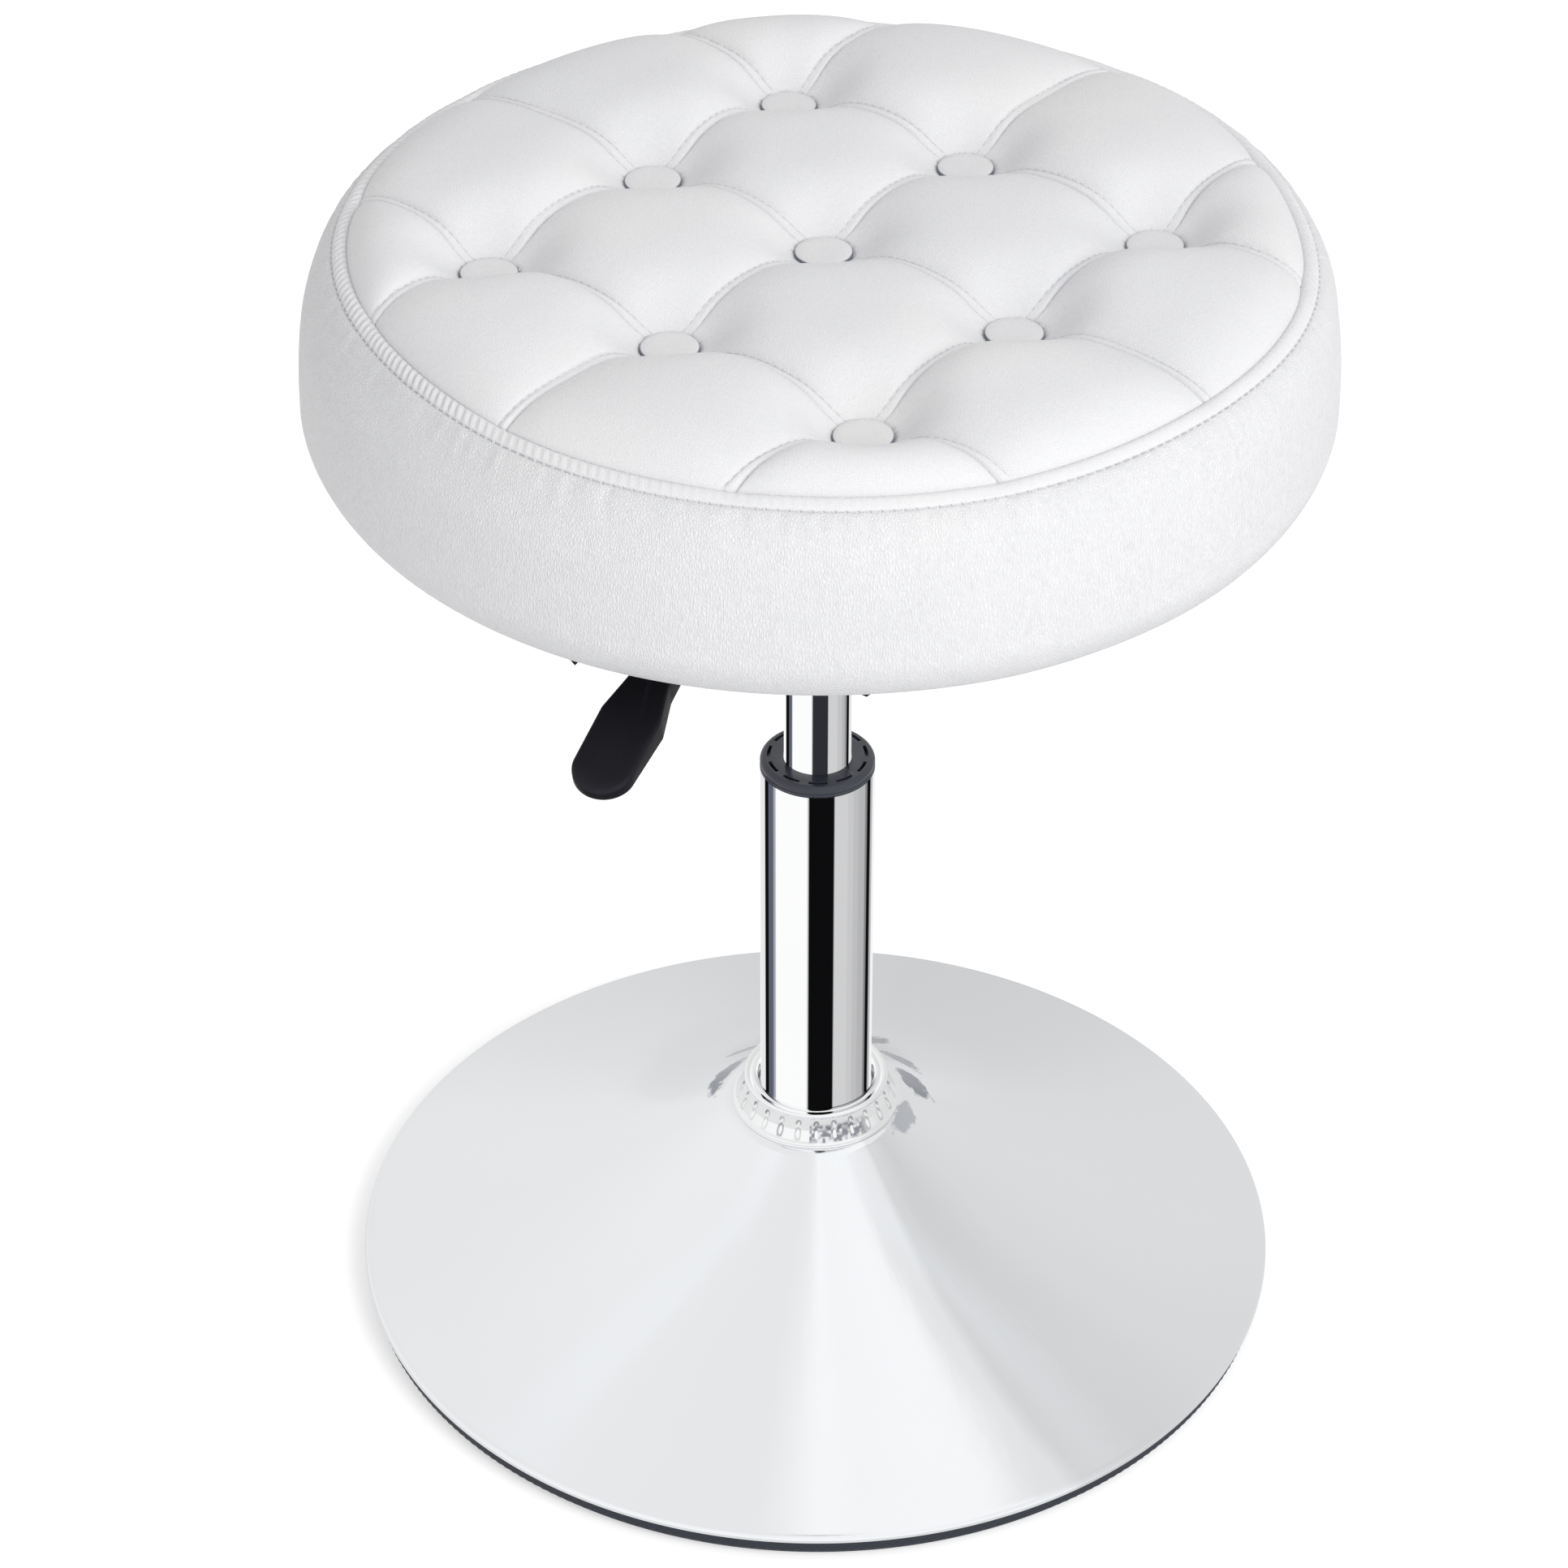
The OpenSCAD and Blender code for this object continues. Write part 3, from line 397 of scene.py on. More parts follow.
class SharedEffects:
    """The effects that several finishes use, each built once as a node group."""

    def __init__(self) -> None:
        """Builds every group."""
        self.grain = self._hide_grain()
        self.marks = self._soft_marks()
        self.speckle = self._moulded_speckle()
        self.streaks = self._radial_streaks()
        self.wear = self._edge_wear()

    @staticmethod
    def _start(name: str, inputs: Sequence[str], outputs: Sequence[str]) -> tuple:
        """Makes an empty group, and gives its wire, what comes in and what goes out."""
        tree = bpy.data.node_groups.new(name, "ShaderNodeTree")
        for label in inputs:
            kind = "NodeSocketVector" if label == "Place" else "NodeSocketFloat"
            tree.interface.new_socket(label, in_out="INPUT", socket_type=kind)
        for label in outputs:
            tree.interface.new_socket(label, in_out="OUTPUT", socket_type="NodeSocketFloat")
        given, wanted = tree.nodes.new("NodeGroupInput").outputs, tree.nodes.new("NodeGroupOutput").inputs
        return Wire(tree), given, wanted

    def _hide_grain(self) -> bpy.types.NodeTree:
        """Pebbled grain of coated leather: cells with creases, and finer pores."""
        wire, given, wanted = self._start("hide_grain", ["Place", "Cell", "Stretch"], ["Height", "Crease"])
        frequency = wire.math("DIVIDE", 1.0, given["Cell"])
        stir = wire.noise(given["Place"], 90.0, 2.0, output="Color")
        swirl = wire.vector("MULTIPLY", stir, (1.2 * MM,) * 3)
        squeeze = wire.add("CombineXYZ", {"X": 1.0, "Y": 1.0, "Z": given["Stretch"]}).outputs[0]
        bent = wire.vector("MULTIPLY", wire.vector("ADD", given["Place"], swirl), squeeze)
        cells = wire.add("TexVoronoi", {"Vector": bent, "Scale": frequency}, feature="DISTANCE_TO_EDGE")
        plump = wire.math("POWER", wire.times(cells.outputs["Distance"], 2.2, clamp=True), 0.6)
        pores = wire.noise(bent, wire.times(frequency, 2.3), 3.0)
        wire.join(wire.plus(plump, wire.times(pores, 0.45)), wanted["Height"])
        wire.join(wire.math("SUBTRACT", 1.0, plump), wanted["Crease"])
        return wire.tree

    def _soft_marks(self) -> bpy.types.NodeTree:
        """Broad, faint cloudiness, as handling and polish leave on any surface."""
        wire, given, wanted = self._start("soft_marks", ["Place", "Scale"], ["Cloud", "Fine"])
        for label, factor, detail in (("Cloud", 1.0, 3.0), ("Fine", 7.0, 5.0)):
            scale = wire.times(given["Scale"], factor)
            wire.join(wire.noise(given["Place"], scale, detail), wanted[label])
        return wire.tree

    def _moulded_speckle(self) -> bpy.types.NodeTree:
        """Fine spark-eroded texture of moulded plastic and powder paint."""
        wire, given, wanted = self._start("moulded_speckle", ["Place", "Scale"], ["Height", "Patch"])
        wire.join(wire.noise(given["Place"], given["Scale"], 3.0, 0.7), wanted["Height"])
        wire.join(wire.noise(given["Place"], 45.0, 2.0), wanted["Patch"])
        return wire.tree

    def _radial_streaks(self) -> bpy.types.NodeTree:
        """Streaks that run outwards from the Z axis, as polishing leaves on a dish."""
        wire, given, wanted = self._start("radial_streaks", ["Place", "Count"], ["Height", "Haze"])
        flat = wire.vector("MULTIPLY", given["Place"], (1.0, 1.0, 0.0))
        lift = wire.add("CombineXYZ", {"Z": wire.times(wire.vector("LENGTH", flat), 3.0)}).outputs[0]
        place = wire.vector("ADD", wire.vector("NORMALIZE", flat), lift)
        broad = wire.noise(place, given["Count"], 2.0)
        narrow = wire.noise(place, wire.times(given["Count"], 9.0), 4.0)
        wire.join(wire.plus(broad, wire.times(narrow, 0.06)), wanted["Height"])
        wire.join(narrow, wanted["Haze"])
        return wire.tree

    def _edge_wear(self) -> bpy.types.NodeTree:
        """A mask of corners, broken up by noise, for colour that is both wear and a painted highlight."""
        wire, given, wanted = self._start("edge_wear_and_sheen", ["Place", "Spread"], ["Worn"])
        raised = wire.math("SUBTRACT", wire.add("NewGeometry").outputs["Pointiness"], 0.5)
        strong = wire.times(raised, given["Spread"], clamp=True)
        wire.join(wire.times(strong, wire.noise(given["Place"], 260.0, 4.0), clamp=True), wanted["Worn"])
        return wire.tree


# --------------------------------------------------------------------- finishes
@dataclass(frozen=True)
class Finish:
    """One surface finish. Subclasses paint what is special to theirs.

    Args:
        name: Name of the material.
        colour: Base colour, linear.
        roughness: Mean roughness.
    """

    name: str
    colour: Colour
    roughness: float

    def build(self, effects: SharedEffects) -> bpy.types.Material:
        """Makes the material: a plain shader that the finish then paints."""
        material = bpy.data.materials.new(self.name)
        wire = Wire.blank(material)
        shader = wire.add("BsdfPrincipled", {"Base Color": rgba(self.colour), "Roughness": self.roughness})
        wire.add("OutputMaterial", {0: shader.outputs[0]})
        self.paint(wire, shader.inputs, wire.place(), effects)
        return material

    def paint(self, wire: Wire, into: bpy.types.bpy_prop_collection, place: Socket,
              effects: SharedEffects) -> None:
        """Feeds the shader.

        Args:
            wire: The material's tree.
            into: The shader's inputs.
            place: The Object coordinates.
            effects: The shared node groups.
        """
        raise NotImplementedError


@dataclass(frozen=True)
class CoatedLeather(Finish):
    """Smooth coated leather with a pebbled grain and soft creases.

    Args:
        cell: Size of the grain's cells.
        depth: Height of the grain.
        stretch: How much the grain is squeezed along Z.
        seam_shade_tint: Colour of the painted shade in the seam lines, round the buttons and in other
            hollows.
        ring_line: Half width of the ring seams' painted shadow line.
        fine_line: Half width of the straight seams' painted shadow line.
    """

    cell: float = 1.1 * MM
    depth: float = 0.03 * MM
    stretch: float = 1.0
    seam_shade_tint: Colour = (0.42, 0.42, 0.45)
    ring_line: float = 0.30 * MM
    fine_line: float = 0.26 * MM

    def ring_seam_shade(self, wire: Wire, place: Socket) -> Socket:
        """Painted shadow of the ring seams' stitches: dots at the front, which grow to strokes towards the
        sides, where the shade falls.
        """
        off = wire.times(wire.math("SUBTRACT", 1.0, wire.attribute("seam_near")), RING_REACH / self.ring_line)
        turn = wire.bearing(place)
        phase = wire.math("FRACT", wire.times(turn, float(RING_STITCHES)))
        holes = wire.ramp(phase, (
            (0.0, 0.95), (0.10, 0.85), (0.20, 0.30), (0.58, 0.22), (0.70, 0.03), (0.93, 0.03), (0.98, 0.95),
        ))
        strokes = wire.ramp(phase, ((0.0, 0.80), (0.60, 0.62), (0.70, 0.05), (0.93, 0.05), (0.98, 0.80)))
        aside = wire.math("ABSOLUTE", wire.math("SUBTRACT", turn, 0.5))
        dash = wire.mix(wire.ramp(aside, ((0.05, 0.0), (0.10, 1.0))), holes, strokes)
        return wire.times(wire.bell(off, 0.0, 1.0), dash)

    def straight_seam_shade(self, wire: Wire) -> Socket:
        """Painted shadow of the straight seams' stitches: fine dashes on the seam and along the strip beside
        it.
        """
        near, beside, run = (wire.attribute(name) for name in ("seam_close", "strip_side", "dash_run"))
        off = wire.times(wire.math("SUBTRACT", 1.0, near), SEAM_REACH / self.fine_line)
        on_strip = wire.times(wire.bell(off, STRIP_W / self.fine_line, 1.0), beside)
        dash = wire.ramp(wire.math("FRACT", run), (
            (0.0, 0.55), (0.45, 0.42), (0.56, 0.03), (0.94, 0.03), (0.99, 0.55),
        ))
        thread = wire.math("MAXIMUM", dash, 0.22)
        return wire.math("MAXIMUM", wire.times(wire.bell(off, 0.0, 1.0), thread), wire.times(on_strip, dash))

    def paint(self, wire: Wire, into: bpy.types.bpy_prop_collection, place: Socket,
              effects: SharedEffects) -> None:
        """Clouds, grain with painted shade in its creases, mottle, and painted shade in the seams and hollows
        over them.
        """
        grain = wire.group(effects.grain, {"Place": place, "Cell": self.cell, "Stretch": self.stretch})
        marks = wire.group(effects.marks, {"Place": place, "Scale": 14.0})
        cool, warm = rgba(self.colour, (0.95, 0.955, 0.975)), rgba(self.colour, (1.03, 1.025, 1.01))
        tone = wire.mix(marks["Cloud"], cool, warm)
        # The grain's creases are darkened a little: painted shade.
        tone = wire.mix(wire.times(grain["Crease"], 0.10), tone, rgba(self.colour, 0.80))
        mottle = wire.ramp(wire.noise(place, 620.0, 3.0, 0.65), ((0.3, 0.965), (0.5, 0.99), (0.7, 1.0)))
        tone = wire.mix(1.0, tone, mottle, "MULTIPLY")
        # Painted shade in marked hollows, and the stitches' painted shadows, take the seam shade tint.
        seam_shade = wire.math("MAXIMUM", wire.attribute("painted_shade"), self.ring_seam_shade(wire, place))
        seam_shade = wire.math("MAXIMUM", seam_shade, self.straight_seam_shade(wire))
        wire.join(wire.mix(seam_shade, tone, rgba(self.seam_shade_tint)), into["Base Color"])
        wire.join(wire.plus(self.roughness, wire.times(marks["Fine"], 0.10)), into["Roughness"])
        wire.bump(wire.plus(grain["Height"], wire.times(marks["Cloud"], 1.5)), self.depth, into)
        into["Specular IOR Level"].default_value = 0.42
        into["Sheen Weight"].default_value = 0.06
        into["Sheen Roughness"].default_value = 0.45


@dataclass(frozen=True)
class Chrome(Finish):
    """Polished chrome plate with faint polishing streaks.

    Args:
        streak_count: How many broad streaks lie in one turn, roughly.
        streak_depth: Height of the streaks, which bend the reflections.
        haze: How much the fine streaks vary the roughness.
        hollow_shade_tint: Colour of the painted shade and dark reflections marked on pressed dimples and
            other hollows.
    """

    streak_count: float = 2.0
    streak_depth: float = 0.0
    haze: float = 0.02
    hollow_shade_tint: Colour = (0.16, 0.17, 0.21)

    def painted_reflections(self, wire: Wire, place: Socket, cloud: Socket, tone: Socket) -> Socket:
        """Adds painted reflections to the plate. Plain chrome has none."""
        return tone

    def paint(self, wire: Wire, into: bpy.types.bpy_prop_collection, place: Socket,
              effects: SharedEffects) -> None:
        """Faint clouds, painted shade and dark reflections where marked, further painted reflections, and
        streaks.
        """
        into["Metallic"].default_value = 1.0
        streaks = wire.group(effects.streaks, {"Place": place, "Count": self.streak_count})
        cloud = wire.group(effects.marks, {"Place": place, "Scale": 9.0})["Cloud"]
        tone = wire.mix(cloud, rgba(self.colour, 0.97), rgba(self.colour))
        # Marked places take painted shade and dark reflections.
        tone = wire.mix(wire.attribute("painted_shade"), tone, rgba(self.hollow_shade_tint))
        wire.join(self.painted_reflections(wire, place, cloud, tone), into["Base Color"])
        wire.join(wire.plus(self.roughness, wire.times(streaks["Haze"], self.haze)), into["Roughness"])
        if self.streak_depth:
            wire.bump(streaks["Height"], self.streak_depth, into)


@dataclass(frozen=True)
class DishChrome(Chrome):
    """Chrome of the pressed dish: faint bands by angle and smudges beside the collar.

    Args:
        bands: Angle from the front in degrees and the level of the painted reflection from there on.
        reflection_patches: Angle and half spread in degrees, radius and half width in mm, and strength of
            each painted dark reflection.
        reflection_patch_tint: Colour of the painted dark reflections.
    """

    bands: tuple[tuple[float, float], ...] = (
        (-180, 0.85), (-165, 0.87), (-150, 0.905), (-135, 0.92), (-120, 0.96), (-105, 0.98), (-90, 0.97),
        (-72, 0.985), (-60, 1.0), (-30, 1.0), (-9, 0.985), (-2, 1.0), (31, 1.0), (33.5, 0.87), (45, 0.87),
        (60, 0.95), (75, 0.985), (90, 1.0), (110, 1.0), (120, 0.99), (135, 0.91), (150, 0.855), (165, 0.825),
        (180, 0.85),
    )
    reflection_patches: tuple[tuple[float, float, float, float, float], ...] = (
        (-153, 11, 65, 4.5, 0.6), (-120, 21, 46.5, 6, 0.8), (162, 5, 82, 10, 0.8), (140, 15, 58, 7, 0.75),
        (112, 16, 46, 7.5, 0.8), (72, 17, 40.5, 5, 0.42),
    )
    reflection_patch_tint: Colour = (0.16, 0.175, 0.23)

    def painted_reflections(self, wire: Wire, place: Socket, cloud: Socket, tone: Socket) -> Socket:
        """The painted reflections: the bands and the dark patches."""
        bent = wire.plus(wire.bearing(place), wire.spread(cloud, -0.012, 0.012))
        # Levels by angle: painted reflection bands.
        level = wire.ramp(bent, [(angle / 360 + 0.5, value) for angle, value in self.bands])
        tone = wire.mix(1.0, tone, level, "MULTIPLY")
        reach = wire.vector("LENGTH", wire.vector("MULTIPLY", place, (1.0, 1.0, 0.0)))
        edge = wire.spread(wire.noise(place, 170.0, 4.0, 0.6), -1.05, 0.15)
        # Dark patches of painted reflection beside the collar.
        for angle, spread, radius, width, strength in self.reflection_patches:
            near = wire.bell(reach, radius * MM, width * MM)
            shape = wire.times(near, wire.bell(bent, angle / 360 + 0.5, spread / 360))
            hard = wire.times(wire.plus(shape, edge), 5.0, clamp=True)
            tone = wire.mix(wire.times(hard, strength), tone, rgba(self.reflection_patch_tint))
        return tone


@dataclass(frozen=True)
class Moulded(Finish):
    """Moulded plastic, rubber, bare metal or powder paint with a fine texture.

    Args:
        speckle: Scale of the texture.
        depth: Height of the texture.
        worn: Colour of the corners, both rubbed wear and a painted highlight.
        wall_shade: Share of the colour that walls keep where they are marked with painted shade.
        metallic: 1 for bare metals.
        specular: Level of the plain gloss.
    """

    speckle: float = 1800.0
    depth: float = 0.02 * MM
    worn: Colour = (0.2, 0.2, 0.2)
    wall_shade: float = 0.35
    metallic: float = 0.0
    specular: float = 0.5

    def paint(self, wire: Wire, into: bpy.types.bpy_prop_collection, place: Socket,
              effects: SharedEffects) -> None:
        """Patches, painted shade on marked walls, corners both worn and painted as highlights, and the
        texture's height.
        """
        into["Metallic"].default_value = self.metallic
        into["Specular IOR Level"].default_value = self.specular
        texture = wire.group(effects.speckle, {"Place": place, "Scale": self.speckle})
        # Corners take a colour that is both rubbed wear and a painted highlight.
        worn = wire.group(effects.wear, {"Place": place, "Spread": 5.0})["Worn"]
        tone = wire.mix(texture["Patch"], rgba(self.colour, 0.85), rgba(self.colour, 1.12))
        # Painted shade: marked walls keep only a share of the colour.
        tone = wire.mix(wire.attribute("painted_shade"), tone, rgba(self.colour, self.wall_shade))
        wire.join(wire.mix(worn, tone, rgba(self.worn)), into["Base Color"])
        rough = wire.spread(texture["Patch"], self.roughness - 0.06, self.roughness + 0.06)
        wire.join(rough, into["Roughness"])
        wire.bump(texture["Height"], self.depth, into)


@dataclass(frozen=True)
class Woven(Finish):
    """Cloth or twine with crossing threads.

    Args:
        pitch: Spacing of the threads.
        depth: Height of the threads.
    """

    pitch: float = 0.9 * MM
    depth: float = 0.08 * MM

    def paint(self, wire: Wire, into: bpy.types.bpy_prop_collection, place: Socket,
              effects: SharedEffects) -> None:
        """Threads along X and Y with fuzz on them, and painted shade between the threads."""
        inputs = {"Vector": place, "Scale": TURN / (self.pitch * 20), "Distortion": 0.4}
        warp, weft = (wire.add("TexWave", inputs, bands_direction=axis).outputs["Fac"] for axis in "XY")
        fuzz = wire.group(effects.speckle, {"Place": place, "Scale": 2600.0})["Height"]
        height = wire.plus(wire.math("MAXIMUM", warp, weft), wire.times(fuzz, 0.7))
        # The low parts between the threads are darkened: painted shade.
        wire.join(wire.mix(height, rgba(self.colour, 0.6), rgba(self.colour)), into["Base Color"])
        wire.bump(height, self.depth, into)
        into["Sheen Weight"].default_value = 0.15


@dataclass(frozen=True)
class Plywood(Finish):
    """Birch plywood: face grain along X and plies at the edge.

    Args:
        ply: Thickness of one ply.
        grain: Height of the grain.
    """

    ply: float = 1.5 * MM
    grain: float = 0.1 * MM

    def paint(self, wire: Wire, into: bpy.types.bpy_prop_collection, place: Socket,
              effects: SharedEffects) -> None:
        """Stretched rings on the face, and darker plies."""
        long = wire.add("Mapping", {"Vector": place, "Scale": (6.0, 60.0, 1.0)}).outputs[0]
        inputs = {"Vector": long, "Scale": 0.6, "Distortion": 7.0, "Detail": 3.0}
        rings = wire.add("TexWave", inputs, bands_direction="Y").outputs["Fac"]
        inputs = {"Vector": place, "Scale": TURN / (self.ply * 40)}
        layers = wire.add("TexWave", inputs, bands_direction="Z").outputs["Fac"]
        dark = rgba(self.colour, 0.72)
        tone = wire.mix(wire.times(layers, 0.35), wire.mix(rings, dark, rgba(self.colour)), dark)
        wire.join(tone, into["Base Color"])
        wire.bump(wire.group(effects.marks, {"Place": place, "Scale": 30.0})["Fine"], self.grain, into)


FINISHES: tuple[Finish, ...] = (
    CoatedLeather("white_leather", (0.86, 0.86, 0.87), 0.42, depth=0.11 * MM),
    CoatedLeather("band_leather", (0.86, 0.86, 0.872), 0.40, cell=0.95 * MM, depth=0.24 * MM, stretch=0.34),
    # The buttons' seam shade tint colours the painted shade round their edges.
    CoatedLeather(
        "button_leather", (0.84, 0.84, 0.845), 0.45, cell=0.9 * MM, depth=0.09 * MM,
        seam_shade_tint=(0.10, 0.11, 0.16),
    ),
    Moulded("foam", (0.84, 0.76, 0.55), 0.9, speckle=900.0, depth=0.4 * MM, worn=(0.9, 0.82, 0.6)),
    Plywood("plywood", (0.62, 0.43, 0.23), 0.6),
    Woven("dust_cloth", (0.012, 0.012, 0.014), 0.85),
    Woven("twine", (0.66, 0.60, 0.48), 0.8, pitch=0.4 * MM),
    Woven("seam_thread", (0.78, 0.78, 0.80), 0.6, pitch=0.3 * MM, depth=0.02 * MM),
    Chrome("chrome", (0.985, 0.988, 0.993), 0.02, haze=0.012),
    DishChrome("dish_chrome", (0.962, 0.980, 1.0), 0.12, streak_count=1.6, streak_depth=1.2 * MM, haze=0.06),
    Moulded(
        "zinc_steel", (0.62, 0.64, 0.66), 0.32, speckle=900.0, depth=0.01 * MM,
        worn=(0.8, 0.8, 0.8), metallic=1.0,
    ),
    Moulded(
        "raw_steel", (0.42, 0.42, 0.43), 0.42, speckle=500.0, depth=0.03 * MM,
        worn=(0.6, 0.6, 0.6), metallic=1.0,
    ),
    Moulded(
        "black_steel", (0.014, 0.015, 0.018), 0.38, speckle=700.0, depth=0.05 * MM, worn=(0.06, 0.06, 0.065),
    ),
    Moulded(
        "slate_plastic", (0.034, 0.038, 0.054), 0.25, speckle=1500.0, depth=0.03 * MM,
        worn=(0.14, 0.16, 0.21),
    ),
    # The grip's lighter edge colour is a painted highlight.
    Moulded(
        "black_plastic", (0.0205, 0.0198, 0.0252), 0.36, speckle=1700.0, worn=(0.07, 0.078, 0.10),
        specular=0.05,
    ),
    Moulded("guide_plastic", (0.80, 0.77, 0.68), 0.45, worn=(0.85, 0.83, 0.75)),
    Moulded("washer_plastic", (0.6, 0.58, 0.52), 0.45, worn=(0.7, 0.7, 0.65)),
    Moulded(
        "black_rubber", (0.030, 0.034, 0.048), 0.62, speckle=600.0, depth=0.12 * MM, worn=(0.07, 0.08, 0.10),
        specular=0.35,
    ),
    Moulded("brass_cage", (0.65, 0.42, 0.15), 0.3, worn=(0.8, 0.6, 0.3), metallic=1.0),
)


class Palette:
    """All materials of the stool: one for each of the record's slots, and three finishes of their own."""

    def __init__(self) -> None:
        """Builds every material once."""
        effects = SharedEffects()
        self._made = {finish.name: finish.build(effects) for finish in FINISHES}

    def dress(self, piece: Object, slot: str, body: Body, finish: str | None = None) -> Object:
        """Gives a new piece the material of its slot or of another finish, and the body that it rides on.

        Args:
            piece: The piece.
            slot: The record's material slot.
            body: The body that it moves with.
            finish: Another finish, if the slot's own isn't meant.

        Returns:
            The same piece.
        """
        piece.data.materials.clear()
        piece.data.materials.append(self._made[finish or slot])
        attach(piece, body.value)
        return piece

    def dress_nodes(self) -> None:
        """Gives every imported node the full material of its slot."""
        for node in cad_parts.values():
            for holder in node.material_slots:
                name = holder.material.name.split(".")[0] if holder.material else ""
                holder.material = self._made.get(name, holder.material)


# ------------------------------------------------------------------------- base
@dataclass
class Base:
    """The chromed dish, its rubber ring and the dimpled collar."""

    palette: Palette
    rim_r: float = 198 * MM
    rim_z: float = 12.575 * MM
    neck_r: float = 37 * MM
    neck_z: float = 86 * MM
    flat_r: float = 38.6 * MM
    flat_z: float = 84.65 * MM
    hole_r: float = 28.3 * MM
    sheet: float = 1.5 * MM
    edge_r: float = 2 * MM
    rib_count: int = 300
    rib_depth: float = 0.16 * MM
    collar_z: float = 84.75 * MM
    dimple_count: int = 26
    drop_z: float = 9.2 * MM
    drop_depth: float = 0.85 * MM
    slot_z: float = 5.1 * MM
    slot_depth: float = 0.6 * MM
    # Angles in degrees right of the front between which the collar's flank takes a painted dark reflection.
    patch: tuple[float, float] = (-5, 44)

    def _trumpet(self, drop: float, steps: int) -> Profile:
        """The dish's curve from the neck's flat to the rim, lowered by drop."""
        points = []
        first = (self.rim_r - self.flat_r) / (self.rim_r - self.neck_r)
        for i in range(steps + 1):
            u = first * (1 - i / steps)
            rise = 0.466 * u + 0.534 * u**2.6
            z = self.rim_z + (self.neck_z - self.rim_z) * rise - drop
            points.append((self.rim_r + (self.neck_r - self.rim_r) * u, z))
        return points

    def dish(self) -> Object:
        """The pressed dish, with a flat neck and a rolled rim."""
        edge_z, low = self.rim_z - self.edge_r, self.rim_z - self.edge_r - 0.375 * MM
        profile = [
            *line((self.hole_r, self.flat_z), (self.flat_r, self.flat_z), 3),
            *self._trumpet(0, 90),
            *arc(self.rim_r, edge_z, self.edge_r, 85, 0, 8),
            (self.rim_r + self.edge_r, low), (self.rim_r + self.edge_r - self.sheet, low),
            *arc(self.rim_r, edge_z, self.edge_r - self.sheet, 0, 85, 4),
            *reversed(self._trumpet(self.sheet, 40)),
            (self.hole_r, self.flat_z - self.sheet),
        ]
        piece = new_object(spin_profile(profile, 288), "base_dish_plate", sharp=50)
        self.palette.dress(piece, "chrome", Body.BASE, "dish_chrome")
        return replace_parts(piece, "base_dish")

    def ring(self) -> Object:
        """The rubber ring on the floor, with a fine ribbed flank."""
        profile = in_mm([
            (183.25, 0.4), (183.65, 0), (194.05, 0), *arc(194.05, 1.2, 1.2, -70, -10, 4),
            *line((195.85, 1.8), (198.35, 4.2), 4), *line((198.35, 4.2), (199.15, 9.5), 7),
            (198.85, 10.1), (183.25, 10.1), (183.25, 6.1), (188.7, 6.1), (188.7, 2.9), (183.25, 2.9),
        ])
        piece = new_object(spin_profile(profile, self.rib_count * 4), "floor_ring_rubber")
        points = read_points(piece)
        radius, turn = polar(points)
        z = points[:, 2]
        flank = smoothstep(1.5 * MM, 3 * MM, z) * (1 - smoothstep(8.6 * MM, 9.4 * MM, z))
        flank = flank * (radius > 194 * MM)
        wave = np.cos(turn * self.rib_count) * np.cos(z / (1.5 * MM) * math.pi)
        points[:, :2] *= (1 + self.rib_depth * flank * (wave - 1) / radius)[:, None]
        write_points(piece, points)
        self.palette.dress(piece, "black_rubber", Body.BASE)
        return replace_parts(piece, "floor_ring")

    def collar(self) -> Object:
        """The chromed collar: a beaded foot, a dimpled flank and a double lip, with painted dark reflections
        on the flank and painted shade on the lip.
        """
        profile = in_mm([
            (28.3, 0), (36.3, 0), *arc(35.2, 1.15, 1.15, 2, 62, 6), (35.0, 2.55),
            *line((34.7, 2.9), (32.7, 6.6), 12), *line((32.7, 6.6), (31.3, 11.0), 13), (31.1, 11.5),
            *arc(30.0, 12.9, 1.35, -35, 95, 8), (28.5, 13.9), (28.2, 13.7), (27.9, 13.9), (27.4, 14.1),
            *arc(26.3, 13.2, 0.9, 90, 180, 5), (25.4, 8.5), (28.3, 7.2),
        ], self.collar_z)
        piece = new_object(spin_profile(profile, self.dimple_count * 26), "base_collar_pressed", sharp=60)
        points = read_points(piece)
        radius, turn = polar(points)
        rise = points[:, 2] - self.collar_z
        step = TURN / self.dimple_count
        off = (turn / step - np.floor(turn / step) - 0.5) * step * radius
        flank = (radius > 31.0 * MM) * (rise > 2.6 * MM) * (rise < 11.4 * MM)
        chance = np.sin(np.floor(turn / step) * 12.9898 + 2.1) * 43758.5453
        chance -= np.floor(chance)
        # Each dimple is a drop over a slot, like a keyhole. Both are 1 at their own rims.
        above = rise - self.drop_z
        drop = np.hypot(off / (1.05 * MM * (1 + 0.28 * above / (1.5 * MM))), above / (1.6 * MM))
        slot = np.hypot(off / (1.25 * MM), (rise - self.slot_z) / (2.7 * MM))
        sink = flank * np.maximum(
            self.drop_depth * (1 - smoothstep(0.3, 1.1, drop)),
            self.slot_depth * (1 - smoothstep(0.5, 1.1, slot)),
        )
        # The darkened rims of the drops and slots, of random strength, are painted reflection contrast.
        dark = (0.5 + 0.5 * chance) * bell(drop - 0.85, 0.28) * smoothstep(7.9 * MM, 9.6 * MM, rise)
        dark = np.maximum(dark, (0.2 + 0.55 * (1 - chance) ** 2) * bell(slot - 0.95, 0.24))
        right = np.degrees(turn) + 90
